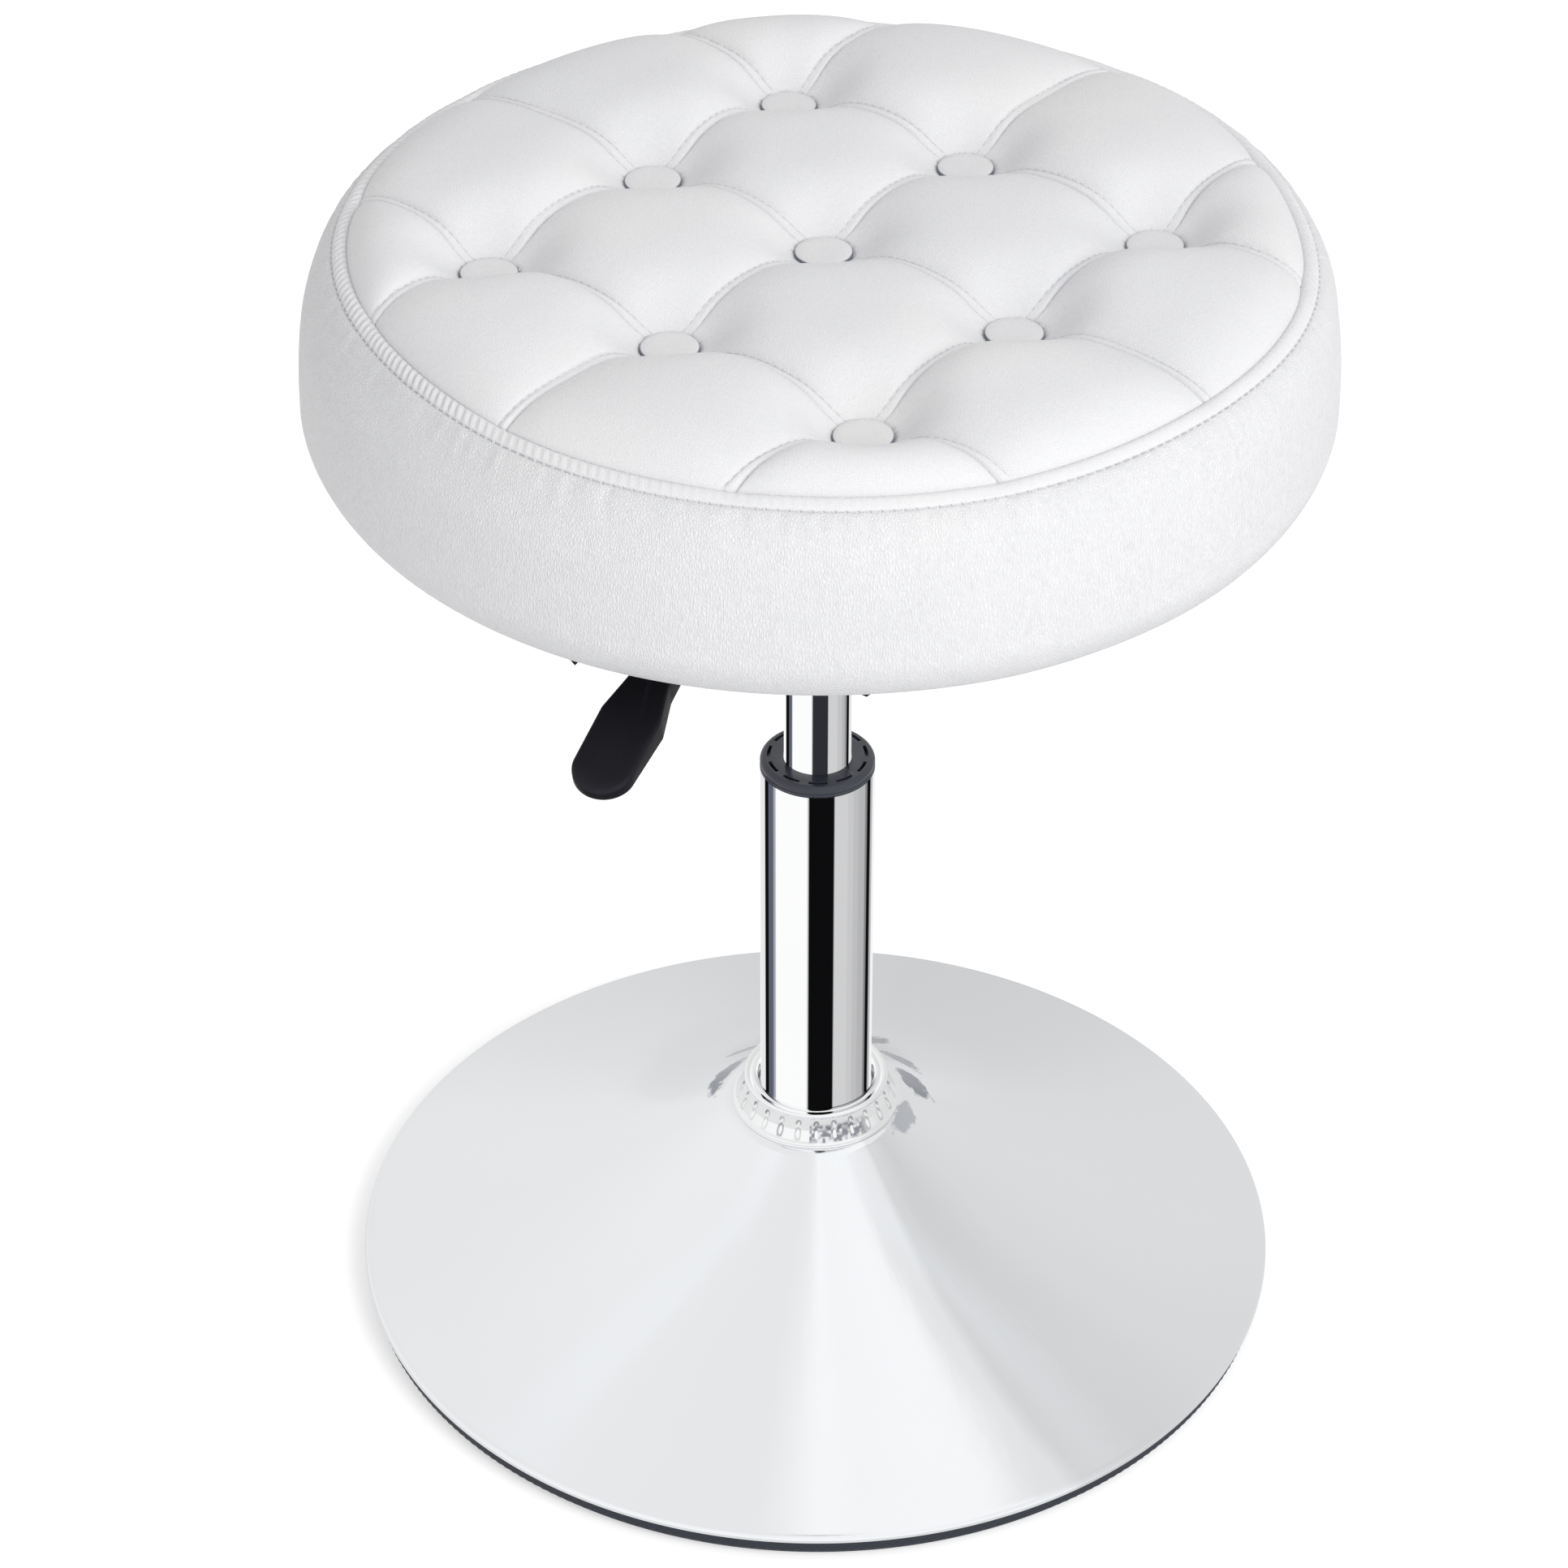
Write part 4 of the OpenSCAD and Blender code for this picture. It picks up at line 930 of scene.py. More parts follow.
        # The darkened patch on the flank, right of the front, is a painted dark reflection.
        low, high = self.patch
        patch = smoothstep(low - 0.5, low + 0.5, right) * (1 - smoothstep(high - 10, high, right))
        patch *= 1 - smoothstep(8.2 * MM, 10.2 * MM, rise)
        patch *= np.clip(0.55 + 1.3 * wander(points, 1.2 * MM, 4.2), 0.1, 0.85) * (slot > 0.7)
        dark = np.maximum(dark * flank, patch * (radius > 31.0 * MM) * (rise > 2.4 * MM))
        # A crescent of painted shade on the lip's inner rounding, mostly right of the front.
        lip = (radius < 27 * MM) * (rise > 9 * MM) * (1 - smoothstep(26.1 * MM, 26.9 * MM, radius))
        shade = 0.95 * smoothstep(2, 12, right) * (1 - smoothstep(66, 84, right)) + 0.5 * bell(right + 62, 22)
        points[:, :2] *= (1 - sink / radius)[:, None]
        write_points(piece, points)
        mark(piece, "painted_shade", np.maximum(dark, lip * shade))
        self.palette.dress(piece, "chrome", Body.BASE)
        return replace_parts(piece, "base_collar")

    def build(self) -> list[Object]:
        """All pieces of the base."""
        return [self.dish(), self.ring(), self.collar()]


# ----------------------------------------------------------------------- column
@dataclass
class Column:
    """The parts of the column that the outer tube carries: the tube and its slotted cap ring."""

    palette: Palette
    outer_r: float = 24 * MM
    bore_r: float = 22 * MM
    foot_r: float = 23.25 * MM
    foot_z: float = 24 * MM
    straight_z: float = 84 * MM
    top: float = 261.5 * MM
    cap_h: float = 5.1 * MM
    slots: int = 11
    slot_share: float = 0.34
    slot_depth: float = 2.2 * MM

    def tube(self) -> Object:
        """The outer tube: straight where it shows, tapered in its socket."""
        profile = [
            *line((self.foot_r, self.foot_z), (self.outer_r, self.straight_z), 4),
            *line((self.outer_r, self.straight_z), (self.outer_r, self.top), 16),
            (self.outer_r, self.top), (self.bore_r, self.top), (self.bore_r, self.foot_z),
        ]
        piece = new_object(spin_profile(profile, 192), "column_tube")
        self.palette.dress(piece, "chrome", Body.BASE)
        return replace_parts(piece, "outer_column")

    def cap_ring(self) -> Object:
        """The slate cap ring: a flat top, a rounded rim and recessed slots."""
        profile = in_mm([
            (14.16, -6.95), (21.95, -6.95), (21.95, 0.05), (23.65, 0.05), (23.9, 0.3), (24.0, 0.75),
            (23.98, 1.15), (23.65, 1.4), (23.75, 1.75), *arc(21.7, 2.8, 2.3, 8, 88, 9), (21.4, 5.1),
            (21.1, 5.08), (19.6, 5.08), (19.3, 5.1), (14.56, 5.1), (14.26, 5.0), (14.16, 4.7),
        ], self.top)
        bm = spin_profile(profile, self.slots * 24)
        inside = []
        for face in bm.faces:
            centre = face.calc_center_median()
            turn = (math.atan2(centre.y, centre.x) / TURN + 0.25) * self.slots
            on_top = centre.z > self.top + self.cap_h - 0.1 * MM and 19.6 * MM < centre.xy.length < 21.1 * MM
            if on_top and abs(turn - round(turn)) < self.slot_share:
                inside.append(face)
        moved = only(BMVert, bmesh.ops.extrude_face_region(bm, geom=inside)["geom"])
        bmesh.ops.translate(bm, verts=moved, vec=(0, 0, -self.slot_depth))
        bmesh.ops.delete(bm, geom=inside, context="FACES")
        piece = new_object(bm, "column_cap_moulding", sharp=45)
        self.palette.dress(piece, "slate_plastic", Body.BASE)
        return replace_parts(piece, "column_cap_ring")

    def build(self) -> list[Object]:
        """All pieces of the column."""
        return [self.tube(), self.cap_ring()]


# ------------------------------------------------------------------------ lever
@dataclass
class Lever:
    """The black grip on the end of the lever's rod.

    Args:
        palette: The materials.
        pivot: Place of the lever's cross pin, from which s runs out along the grip.
        azimuth: Degrees that the lever is turned from the right.
        slope: Degrees that it points down.
        start: s of the grip's inner end.
        shoulder: s where the neck ends and the paddle begins.
        tip: s of the grip's end.
        neck_w: Width of the neck, and neck_t its thickness.
        paddle_w: Width of the paddle, and paddle_t its thickness.
        edge: Rounding of the edges.
        rest: Depth of the thumb rest.
        lean: Sideways slant of the grip, which is 0 at s = lean_s.
    """

    palette: Palette
    pivot: Point = (-11.833 * MM, -25.377 * MM, 412.588 * MM)
    azimuth: float = -115
    slope: float = 12
    start: float = 105.9 * MM
    shoulder: float = 136.5 * MM
    tip: float = 177.9 * MM
    neck_w: float = 17.5 * MM
    neck_t: float = 11 * MM
    paddle_w: float = 25 * MM
    paddle_t: float = 6.5 * MM
    edge: float = 1.7 * MM
    rest: float = 0.35 * MM
    lean: float = 0.0755
    lean_s: float = 171 * MM

    def _half_width(self, s: float) -> float:
        """Half the grip's width at a place along the lever, up to the paddle's round end."""
        ease = within((s - self.shoulder + 17 * MM) / (18 * MM))
        return (self.neck_w + (self.paddle_w - self.neck_w) * ease) / 2

    def _outline(self, steps: int = 34) -> Profile:
        """Points round the grip, seen from above."""
        centre = self.tip - self.paddle_w / 2
        along = [self.start + (centre - self.start) * i / steps for i in range(steps + 1)]
        right = [(s, -self._half_width(s)) for s in along]
        left = [(s, self._half_width(s)) for s in reversed(along)]
        return right + arc(centre, 0, self.paddle_w / 2, -90, 90, 24)[1:-1] + left

    @staticmethod
    def _upper_faces(bm: BMesh) -> list[BMFace]:
        """The large faces that look up: the grip's flat top and what an inset left of it."""
        return [face for face in bm.faces if len(face.verts) > 30 and face.normal.z > 0.9]

    def grip(self) -> Object:
        """The grip: an extruded outline with rounded edges, a shallow thumb rest, and painted shade on its
        side walls.
        """
        bm = bmesh.new()
        face = bm.faces.new([bm.verts.new((s, y, 0)) for s, y in self._outline()])
        raised = only(BMVert, bmesh.ops.extrude_face_region(bm, geom=[face])["geom"])
        bmesh.ops.translate(bm, verts=raised, vec=(0, 0, self.neck_t))
        bmesh.ops.recalc_face_normals(bm, faces=bm.faces)
        rims = [e for e in bm.edges if abs(e.verts[0].co.z - e.verts[1].co.z) < 1e-9]
        bmesh.ops.bevel(
            bm, geom=rims, offset=self.edge, offset_type="OFFSET", segments=5, profile=0.5,
            affect="EDGES", material=-1,
        )
        for depth in (2.2 * MM, 2.5 * MM):
            bmesh.ops.inset_region(bm, faces=self._upper_faces(bm), thickness=depth, use_even_offset=True)
        rest = set(max(self._upper_faces(bm), key=lambda face: face.calc_area()).verts)
        centre = self.tip - self.paddle_w / 2
        # The side walls under the top's rounding are marked for painted shade, so they render darker than the
        # top.
        side_shade = bm.verts.layers.float.new("painted_shade")
        for vert in bm.verts:
            s, z = vert.co.x, vert.co.z
            vert[side_shade] = within((self.neck_t - z - 0.7 * MM) / (0.9 * MM))
            end = within((s - centre) / (self.tip - centre))
            run = within((s - self.shoulder) / (centre - self.shoulder))
            if z > self.neck_t / 2:
                vert.co.z = z - self.neck_t / 2 - 0.25 * self.paddle_t * end**2
            else:
                vert.co.z = z - self.neck_t / 2 + (self.neck_t - self.paddle_t) * run
            if vert in rest:
                vert.co.z -= self.rest
            vert.co.y -= self.lean * (self.lean_s - s)
        turned = Matrix.Rotation(math.radians(self.azimuth), 4, "Z")
        turned = turned @ Matrix.Rotation(math.radians(self.slope), 4, "Y")
        bmesh.ops.transform(bm, matrix=Matrix.Translation(self.pivot) @ turned, verts=bm.verts)
        piece = new_object(bm, "lever_grip_moulding", sharp=38)
        self.palette.dress(piece, "black_plastic", Body.LEVER)
        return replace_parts(piece, "lever_grip")

    def build(self) -> list[Object]:
        """All pieces of the lever."""
        return [self.grip()]


# ------------------------------------------------------------------------- seat
@dataclass
class SeatShape:
    """The sizes and laws that the seat's leather pieces share.

    The lattice is the even square grid of buttons. Its frame is the stool's, turned by azimuth degrees.

    Args:
        pitch: Spacing of the lattice.
        azimuth: Turn of the lattice.
        seam_r: Mean radius of the upper ring seam, at the height seam_z.
        widest_r: Radius of the side's widest point, at the height widest_z.
        under_r: Radius where the side turns under the board, at the height under_z.
        hem_r: Radius of the hem.
        cover: Thickness of the side cover.
        pit_z: Height of the leather at the middle button.
        button_r: Radius of a button.
        button_z: Height of the foot of the middle button, and button_t the buttons' thickness.
        button_drop: How much lower a button lies for each step from the middle.
        welt_w: Width of the welt between the ring seams; welt_z is the height of the lower one.
        ring_radii: Radius of the upper ring seam in mm, at even angles of the lattice's frame.
        button_shifts: How far in mm each button sits off the lattice, in the stool's frame.
        pull_in: How far the straight seams pull the ring in, and pull_down how far down.
    """

    pitch: float = 92 * MM
    azimuth: float = -40
    seam_r: float = 184.3 * MM
    seam_z: float = 508 * MM
    widest_r: float = 203.6 * MM
    widest_z: float = 447 * MM
    under_r: float = 187 * MM
    under_z: float = 426 * MM
    hem_r: float = 170 * MM
    cover: float = 2.8 * MM
    pit_z: float = 502.9 * MM
    button_r: float = 11.4 * MM
    button_z: float = 501 * MM
    button_t: float = 4.8 * MM
    button_drop: float = 0.6 * MM
    welt_w: float = 5.9 * MM
    welt_z: float = 505.6 * MM
    ring_radii: tuple[float, ...] = (
        184.2, 185.3, 187.2, 184.7, 186.5, 188.0, 188.0, 187.5, 187.0, 186.5, 186.0, 185.5,
        185.2, 184.8, 183.8, 181.5, 180.0, 177.6, 180.2, 181.8, 183.4, 184.6, 185.5, 183.8,
    )
    button_shifts: tuple[tuple[tuple[float, float], ...], ...] = (
        ((2.5, -3.6), (4.6, -1.1), (-0.6, -6.3)),
        ((2.5, -2.1), (1.4, -0.6), (-0.8, -1.6)),
        ((3.6, -5.3), (2.2, -2.6), (0.3, -4.7)),
    )
    pull_in: float = 0.7 * MM
    pull_down: float = 0.8 * MM

    def shifted(self, flat: Array) -> Array:
        """Moves points of the even lattice with the hand-set buttons round them.

        Args:
            flat: Places in the lattice's frame, one row each.

        Returns:
            The moved places.
        """
        table = np.array(self.button_shifts) * MM
        share = np.clip(flat / self.pitch, -1, 1) + 1
        cell = np.minimum(share.astype(int), 1)
        part = share - cell
        moved = np.zeros_like(flat)
        for i, j in np.ndindex(2, 2):
            weight = (part[:, 0] if i else 1 - part[:, 0]) * (part[:, 1] if j else 1 - part[:, 1])
            moved += table[cell[:, 0] + i, cell[:, 1] + j] * weight[:, None]
        turn = math.radians(self.azimuth)
        cos, sin = math.cos(turn), math.sin(turn)
        x, y = moved.T
        return flat + np.column_stack([cos * x + sin * y, cos * y - sin * x])

    def buttons(self) -> tuple[Array, Array]:
        """Centres of the buttons in the lattice's frame, and how much lower than the middle one each lies."""
        even = np.array([(i, j) for i in (-1, 0, 1) for j in (-1, 0, 1)], dtype=float)
        return self.shifted(even * self.pitch), self.button_drop * (even**2).sum(1)

    def pulled(self, turn: Array) -> Array:
        """How strongly the twelve outer seams pull the ring in, by the angle in the lattice's frame."""
        off = (turn / (TURN / 12) + 0.5) % 1 - 0.5
        return bell(off * TURN / 12 * self.seam_r, 9 * MM)

    def mean_ring(self, turn: Array) -> Array:
        """Radius of the hand-sewn ring, without the seams' pull, by the angle in the lattice's frame."""
        waves = np.fft.rfft(self.ring_radii) / len(self.ring_radii)
        radius = np.full(np.shape(turn), waves[0].real)
        for m in range(1, 8):
            radius = radius + 2 * (waves[m].real * np.cos(m * turn) - waves[m].imag * np.sin(m * turn))
        return radius * MM

    def ring_r(self, turn: Array) -> Array:
        """Radius of the upper ring seam by the angle in the lattice's frame."""
        return self.mean_ring(turn) - self.pull_in * self.pulled(turn)

    def turned(self) -> Matrix:
        """The turn from the lattice's frame to the stool's."""
        return Matrix.Rotation(math.radians(self.azimuth), 4, "Z")


class Side(Enum):
    """The four sides of a panel."""

    FIRST = 0
    LAST = 1
    INNER = 2
    OUTER = 3


@dataclass
class Panel:
    """One sewn panel of the tufted top.

    Args:
        shape: The seat's shared sizes.
        start: Place of a point at across = 0 to 1 on the panel's inner side.
        end: Place of a point at across = 0 to 1 on its outer side.
        strips: Sides along which the seam's strip lies on this panel.
        at_button: Whether the inner side is only a button.
        outer: Whether the panel reaches the ring seam.
        swell: How far the seams rise between the buttons.
    """

    shape: SeatShape
    start: Law
    end: Law
    strips: set[Side]
    at_button: bool = False
    outer: bool = False
    swell: float = 5 * MM

    def place(self, f: Array, g: Array) -> Array:
        """Places in the lattice's frame for shares across and along the panel."""
        first, last = self.start(f), self.end(f)
        return first + (last - first) * g[:, None]

    def lines(self) -> dict[Side, tuple[Array, Array]]:
        """A point and the direction of each straight side."""
        near, far = ([law(np.array([v]))[0] for v in (0.0, 1.0)] for law in (self.start, self.end))
        ends = {Side.FIRST: (near[0], far[0]), Side.LAST: (near[1], far[1])}
        if not self.at_button:
            ends[Side.INNER] = (near[0], near[1])
        if not self.outer:
            ends[Side.OUTER] = (far[0], far[1])
        return {side: (a, heading(a, b)) for side, (a, b) in ends.items()}

    def distances(self, p: Array) -> dict[Side, Array]:
        """Distance in metres of each point from each side of the panel, but not from a mere button."""
        found = {}
        for side, (a, way) in self.lines().items():
            rel = p - a
            found[side] = np.abs(rel[:, 0] * way[1] - rel[:, 1] * way[0])
        if self.outer:
            radius, turn = polar(p)
            found[Side.OUTER] = np.maximum(0, self.shape.ring_r(turn) - radius)
        return found

    def dashes(self, p: Array, found: dict[Side, Array], stitch: float) -> dict[str, Array]:
        """Numbers from which the leather draws the straight seams' dashes.

        Args:
            p: Places in the lattice's frame.
            found: Their distances from the panel's sides.
            stitch: Spacing of the stitches.

        Returns:
            Nearness to the closest seam, whether its strip lies here, and the run along it in stitches.
        """
        best, run, strip = np.full(len(p), SEAM_REACH), np.zeros(len(p)), np.zeros(len(p))
        for side, (_, way) in self.lines().items():
            closer = found[side] < best
            best = np.where(closer, found[side], best)
            run = np.where(closer, p @ way / stitch, run)
            strip = np.where(closer, float(side in self.strips), strip)
        return {"seam_close": 1 - best / SEAM_REACH, "strip_side": strip, "dash_run": run}

    def base(self, f: Array, g: Array, p: Array) -> Array:
        """Height of the seams, spread smoothly over the panel."""
        x, y, z0 = np.abs(2 * f - 1), np.abs(2 * g - 1), self.shape.seam_z
        if not self.outer:
            return z0 + self.swell - self.swell * x**2 * y**2
        edge = np.zeros_like(x) if self.at_button else self.swell * (1 - x**2)
        pull = self.shape.pull_down * self.shape.pulled(polar(p)[1])
        return z0 + edge * (1 - g) - pull * g**6 + 5.8 * MM * (1 - y**4)


@dataclass
class Seat:
    """The upholstered seat: tufted top, welt, side band, buttons and stitches.

    Args:
        palette: The materials.
        shape: The seat's shared sizes.
        cuts: Cells along each side of a panel.
        crown: Height of the filling in an inner panel, and outer_crown in an outer one.
        roundness: How steeply the filling rises from a seam.
        pit_w: Width of the slope round a button.
        seam_depth: Depth of the straight seams.
        stitch: Spacing of the straight seams' stitches, and dash_at the place of the thread in it.
        skirt: Share of the radius and height in mm of each step down from the top's edge to the board.
    """

    palette: Palette
    shape: SeatShape = field(default_factory=SeatShape)
    cuts: int = 54
    crown: float = 8 * MM
    outer_crown: float = 6.5 * MM
    roundness: float = 0.66
    pit_w: float = 12.8 * MM
    seam_depth: float = 1.2 * MM
    stitch: float = 3.8 * MM
    dash_at: float = 0.76
    skirt: tuple[tuple[float, float], ...] = ((0.994, 504), (0.991, 498), (0.99, 470), (0.995, 441.2))

    # -- tufted top
    def panels(self) -> list[Panel]:
        """The four inner and twelve outer panels."""
        shape, pitch = self.shape, self.shape.pitch

        def row(i: int, j: int) -> Law:
            return lambda f: shape.shifted(np.column_stack([i + f, np.full_like(f, j)]) * pitch)

        def outer_start(k: int) -> Law:
            def law(f: Array) -> Array:
                one = np.ones_like(f)
                x, y = ((one, f), (one, one), (1 - f, one))[k % 3]
                for _ in range(k // 3):
                    x, y = -y, x
                return shape.shifted(np.column_stack([x, y]) * pitch)
            return law

        def outer_end(k: int) -> Law:
            def law(f: Array) -> Array:
                turn = (k + f + 0.045 * np.sin(TURN * f)) * TURN / 12
                return on_circle(turn) * shape.ring_r(turn)[:, None]
            return law

        made = [
            Panel(shape, row(i, j), row(i, j + 1), {Side.LAST, Side.INNER}) for i in (-1, 0) for j in (-1, 0)
        ]
        strips = {Side.FIRST: {0, 1, 2, 3, 4, 11}, Side.LAST: {4, 5, 6, 7, 8, 9}, Side.INNER: {2, 3, 5, 6}}
        for k in range(12):
            sides = {side for side, chosen in strips.items() if k in chosen}
            made.append(Panel(shape, outer_start(k), outer_end(k), sides, at_button=k % 3 == 1, outer=True))
        return made

    def relief(self, panel: Panel, f: Array, g: Array, p: Array) -> tuple[Array, Array]:
        """Height of a panel and its painted shade in the seams, along the strips and round the buttons.

        Args:
            panel: The panel.
            f: Share across the panel.
            g: Share along it.
            p: Places in the lattice's frame.

        Returns:
            Heights in metres, and the painted shade mask.
        """
        shape = self.shape
        sides = panel.distances(p)
        half_x = np.maximum((sides[Side.FIRST] + sides[Side.LAST]) / 2, 6 * MM)
        if panel.at_button:
            half_y = 34 * MM
        elif panel.outer:
            half_y = np.maximum((sides[Side.INNER] + sides[Side.OUTER]) / 2, 6 * MM)
        else:
            half_y = shape.pitch / 2
        fill = np.ones(len(p))
        for side, distance in sides.items():
            near = np.maximum(0, distance - (STRIP_W if side in panel.strips else 0))
            share = np.clip(near / (half_x if side in (Side.FIRST, Side.LAST) else half_y), 0, 1)
            fill *= (1 - (1 - share) ** 3) ** self.roundness
        height = panel.base(f, g, p) + (self.outer_crown if panel.outer else self.crown) * fill
        # Painted shade along the seams, the strips' stitch lines and round the buttons.
        painted_shade = np.zeros(len(p))
        for side, distance in sides.items():
            depth, dark = (0.6 * MM, 0.07) if side is Side.OUTER and panel.outer else (self.seam_depth, 0.26)
            height -= depth * bell(distance, 0.65 * MM)
            painted_shade = np.maximum(painted_shade, dark * bell(distance, 0.36 * MM))
            if side in panel.strips:
                inside = smoothstep(0.5 * MM, 1.1 * MM, distance)
                inside = inside * (1 - smoothstep(3.0 * MM, 3.7 * MM, distance))
                height += 0.45 * MM * inside - 0.35 * MM * bell(distance - STRIP_W, 0.45 * MM)
                painted_shade = np.maximum(painted_shade, 0.04 * bell(distance - STRIP_W, 0.35 * MM))
        centres, drops = shape.buttons()
        apart = np.linalg.norm(p[:, None, :] - centres[None, :, :], axis=2)
        away = apart.min(1)
        reach = np.maximum(0, away - (shape.button_r - 0.1 * MM))
        sunk = 1 - np.exp(-((reach / self.pit_w) ** 1.6))
        pit = shape.pit_z - drops[apart.argmin(1)] + 1.5 * MM * (1 - np.exp(-reach / (0.7 * MM)))
        height = pit + (height - pit) * sunk
        return height, np.maximum(painted_shade, 0.9 * bell(away - shape.button_r - 0.05 * MM, 0.32 * MM))

    def top(self) -> Object:
        """The tufted top: sixteen stuffed panels joined at their seams, closed below."""
        whole = bmesh.new()
        names = ("painted_shade", "seam_near", "seam_close", "strip_side", "dash_run")
        layers = {name: whole.verts.layers.float.new(name) for name in names}
        crowding = 0.72  # how much finer the grid is at the panels' sides
        for panel in self.panels():
            before = len(whole.verts)
            bmesh.ops.create_grid(whole, x_segments=self.cuts, y_segments=self.cuts, size=0.5)
            whole.verts.ensure_lookup_table()
            fresh = whole.verts[before:]
            raw = np.array([(v.co.x, v.co.y) for v in fresh]) + 0.5
            f, g = np.clip(raw - crowding * np.sin(TURN * raw) / TURN, 0, 1).T
            p = panel.place(f, g)
            height, painted_shade = self.relief(panel, f, g, p)
            found = panel.distances(p)
            near = 0.9 * seam_hat(found[Side.OUTER]) if panel.outer else np.zeros(len(p))
            values = {"painted_shade": painted_shade, "seam_near": near, **panel.dashes(p, found, self.stitch)}
            for i, vert in enumerate(fresh):
                vert.co = (*p[i], height[i])
                for name, layer in layers.items():
                    vert[layer] = values[name][i]
        bmesh.ops.remove_doubles(whole, verts=whole.verts, dist=0.02 * MM)
        bmesh.ops.recalc_face_normals(whole, faces=whole.faces)
        edge = [e for e in whole.edges if e.is_boundary]
        for shrink, z in self.skirt:
            edge = only(BMEdge, bmesh.ops.extrude_edge_only(whole, edges=edge)["geom"])
            for vert in {v for e in edge for v in e.verts}:
                vert.co = (vert.co.x * shrink, vert.co.y * shrink, z * MM)
        bmesh.ops.edgeloop_fill(whole, edges=edge)
        bmesh.ops.recalc_face_normals(whole, faces=whole.faces)
        bmesh.ops.transform(whole, matrix=self.shape.turned(), verts=whole.verts)
        piece = new_object(whole, "seat_tufted_top", sharp=75)
        self._soften(piece)
        self.palette.dress(piece, "white_leather", Body.SEAT)
        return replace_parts(piece, "seat_top_panel", "seat_foam")

    @staticmethod
    def _soften(piece: Object) -> None:
        """Gives the stuffed panels their slow unevenness in two sizes."""
        points = read_points(piece)
        upper = points[:, 2] > 502 * MM
        chosen = points[upper]
        free = np.clip((chosen[:, 2] - 509 * MM) / (6 * MM), 0, 1)
        lift = 0.55 * MM * wander(chosen, 38 * MM, 3.1) + 0.22 * MM * wander(chosen, 14 * MM, 8.7)
        points[upper, 2] += free * lift
        write_points(piece, points)

    # -- welt and side band
    def welt(self) -> Object:
        """The puckered strip between the ring seam and the topstitch below it."""
        shape = self.shape
        # This profile's heights are only labels: the share across the welt's face, and 2 and 3 behind it.
        shares = (0, 0.03, 0.07, 0.13, 0.20, 0.28, 0.37, 0.47, 0.58, 0.69, 0.79, 0.87, 0.93, 0.97, 1.0)
        inset = 0.6 * MM
        profile = [(shape.seam_r + shape.welt_w * t, t) for t in shares]
        profile += [(shape.seam_r + shape.welt_w - inset, 2.0), (shape.seam_r - 0.4 * MM, 3.0)]
        piece = new_object(spin_profile(profile, RING_STITCHES * 6), "seat_rim_welt", sharp=80)
        points = read_points(piece)
        turn = polar(points)[1]
        lattice_turn = turn - math.radians(shape.azimuth)
        layer = points[:, 2]
        face, t = layer <= 1.5, np.clip(layer, 0, 1)
        ring = on_circle(turn)
        flat = np.column_stack([ring * 0.2, np.zeros(len(t))])
        slow, quick = wander(flat, 30 * MM, 2.3), wander(flat, 7 * MM, 5.9)
        phase = turn * RING_STITCHES / TURN - 1.15 * np.cos(turn) * (1 - t) ** 1.6
        ridges = np.sin(TURN * phase + 0.9 * quick) + 0.35 * np.sin(TURN * 2 * phase + 3.0 * slow)
        strong = 0.035 + 0.50 * (0.5 - 0.5 * np.cos(turn - math.radians(10))) ** 7
        strong += 0.26 * bell(turn - math.radians(12), math.radians(30))
        strong *= np.clip(1 + 0.5 * slow, 0.8, 1.3)
        roll = 1.15 * MM * np.where(t < 0.36, 1 - (1 - t / 0.36) ** 2, 1 - ((t - 0.36) / 0.64) ** 2)
        swell = np.sin(np.pi * t) ** 0.5
        scallop = 0.12 * MM * np.sin(turn * RING_STITCHES) * bell(t, 0.12)
        grow = roll + strong * MM * ridges * swell - 0.35 * MM * (bell(t, 0.05) + bell(t - 1, 0.05)) + scallop
        pull = shape.pulled(lattice_turn) * (1 - t)
        line_r = shape.mean_ring(lattice_turn) - shape.pull_in * pull
        new_r = line_r + shape.welt_w * t + 0.45 * grow
        new_z = shape.seam_z + (shape.welt_z - shape.seam_z) * t**1.2 - shape.pull_down * pull + 0.89 * grow
        low, high = line_r + shape.welt_w - inset, line_r - 0.4 * MM
        new_r = np.where(face, new_r, np.where(layer > 2.5, high, low))
        new_z = np.where(face, new_z, np.where(layer > 2.5, shape.seam_z - 3 * MM, shape.welt_z - 2.6 * MM))
        write_points(piece, np.column_stack([ring * new_r[:, None], new_z]))
        # Painted shade in the ridges' valleys and along both seams.
        valley = 0.34 * np.clip(-ridges, 0, 1) * np.clip(strong / 0.45 - 0.1, 0, 1) * swell
        mark(piece, "painted_shade", face * (0.07 * bell(t, 0.05) + 0.05 * bell(t - 1, 0.05) + valley))
        near = np.maximum(0.9 * seam_hat(t * shape.welt_w), seam_hat((1 - t) * shape.welt_w))
        mark(piece, "seam_near", near)
        self.palette.dress(piece, "white_leather", Body.SEAT)
        return piece

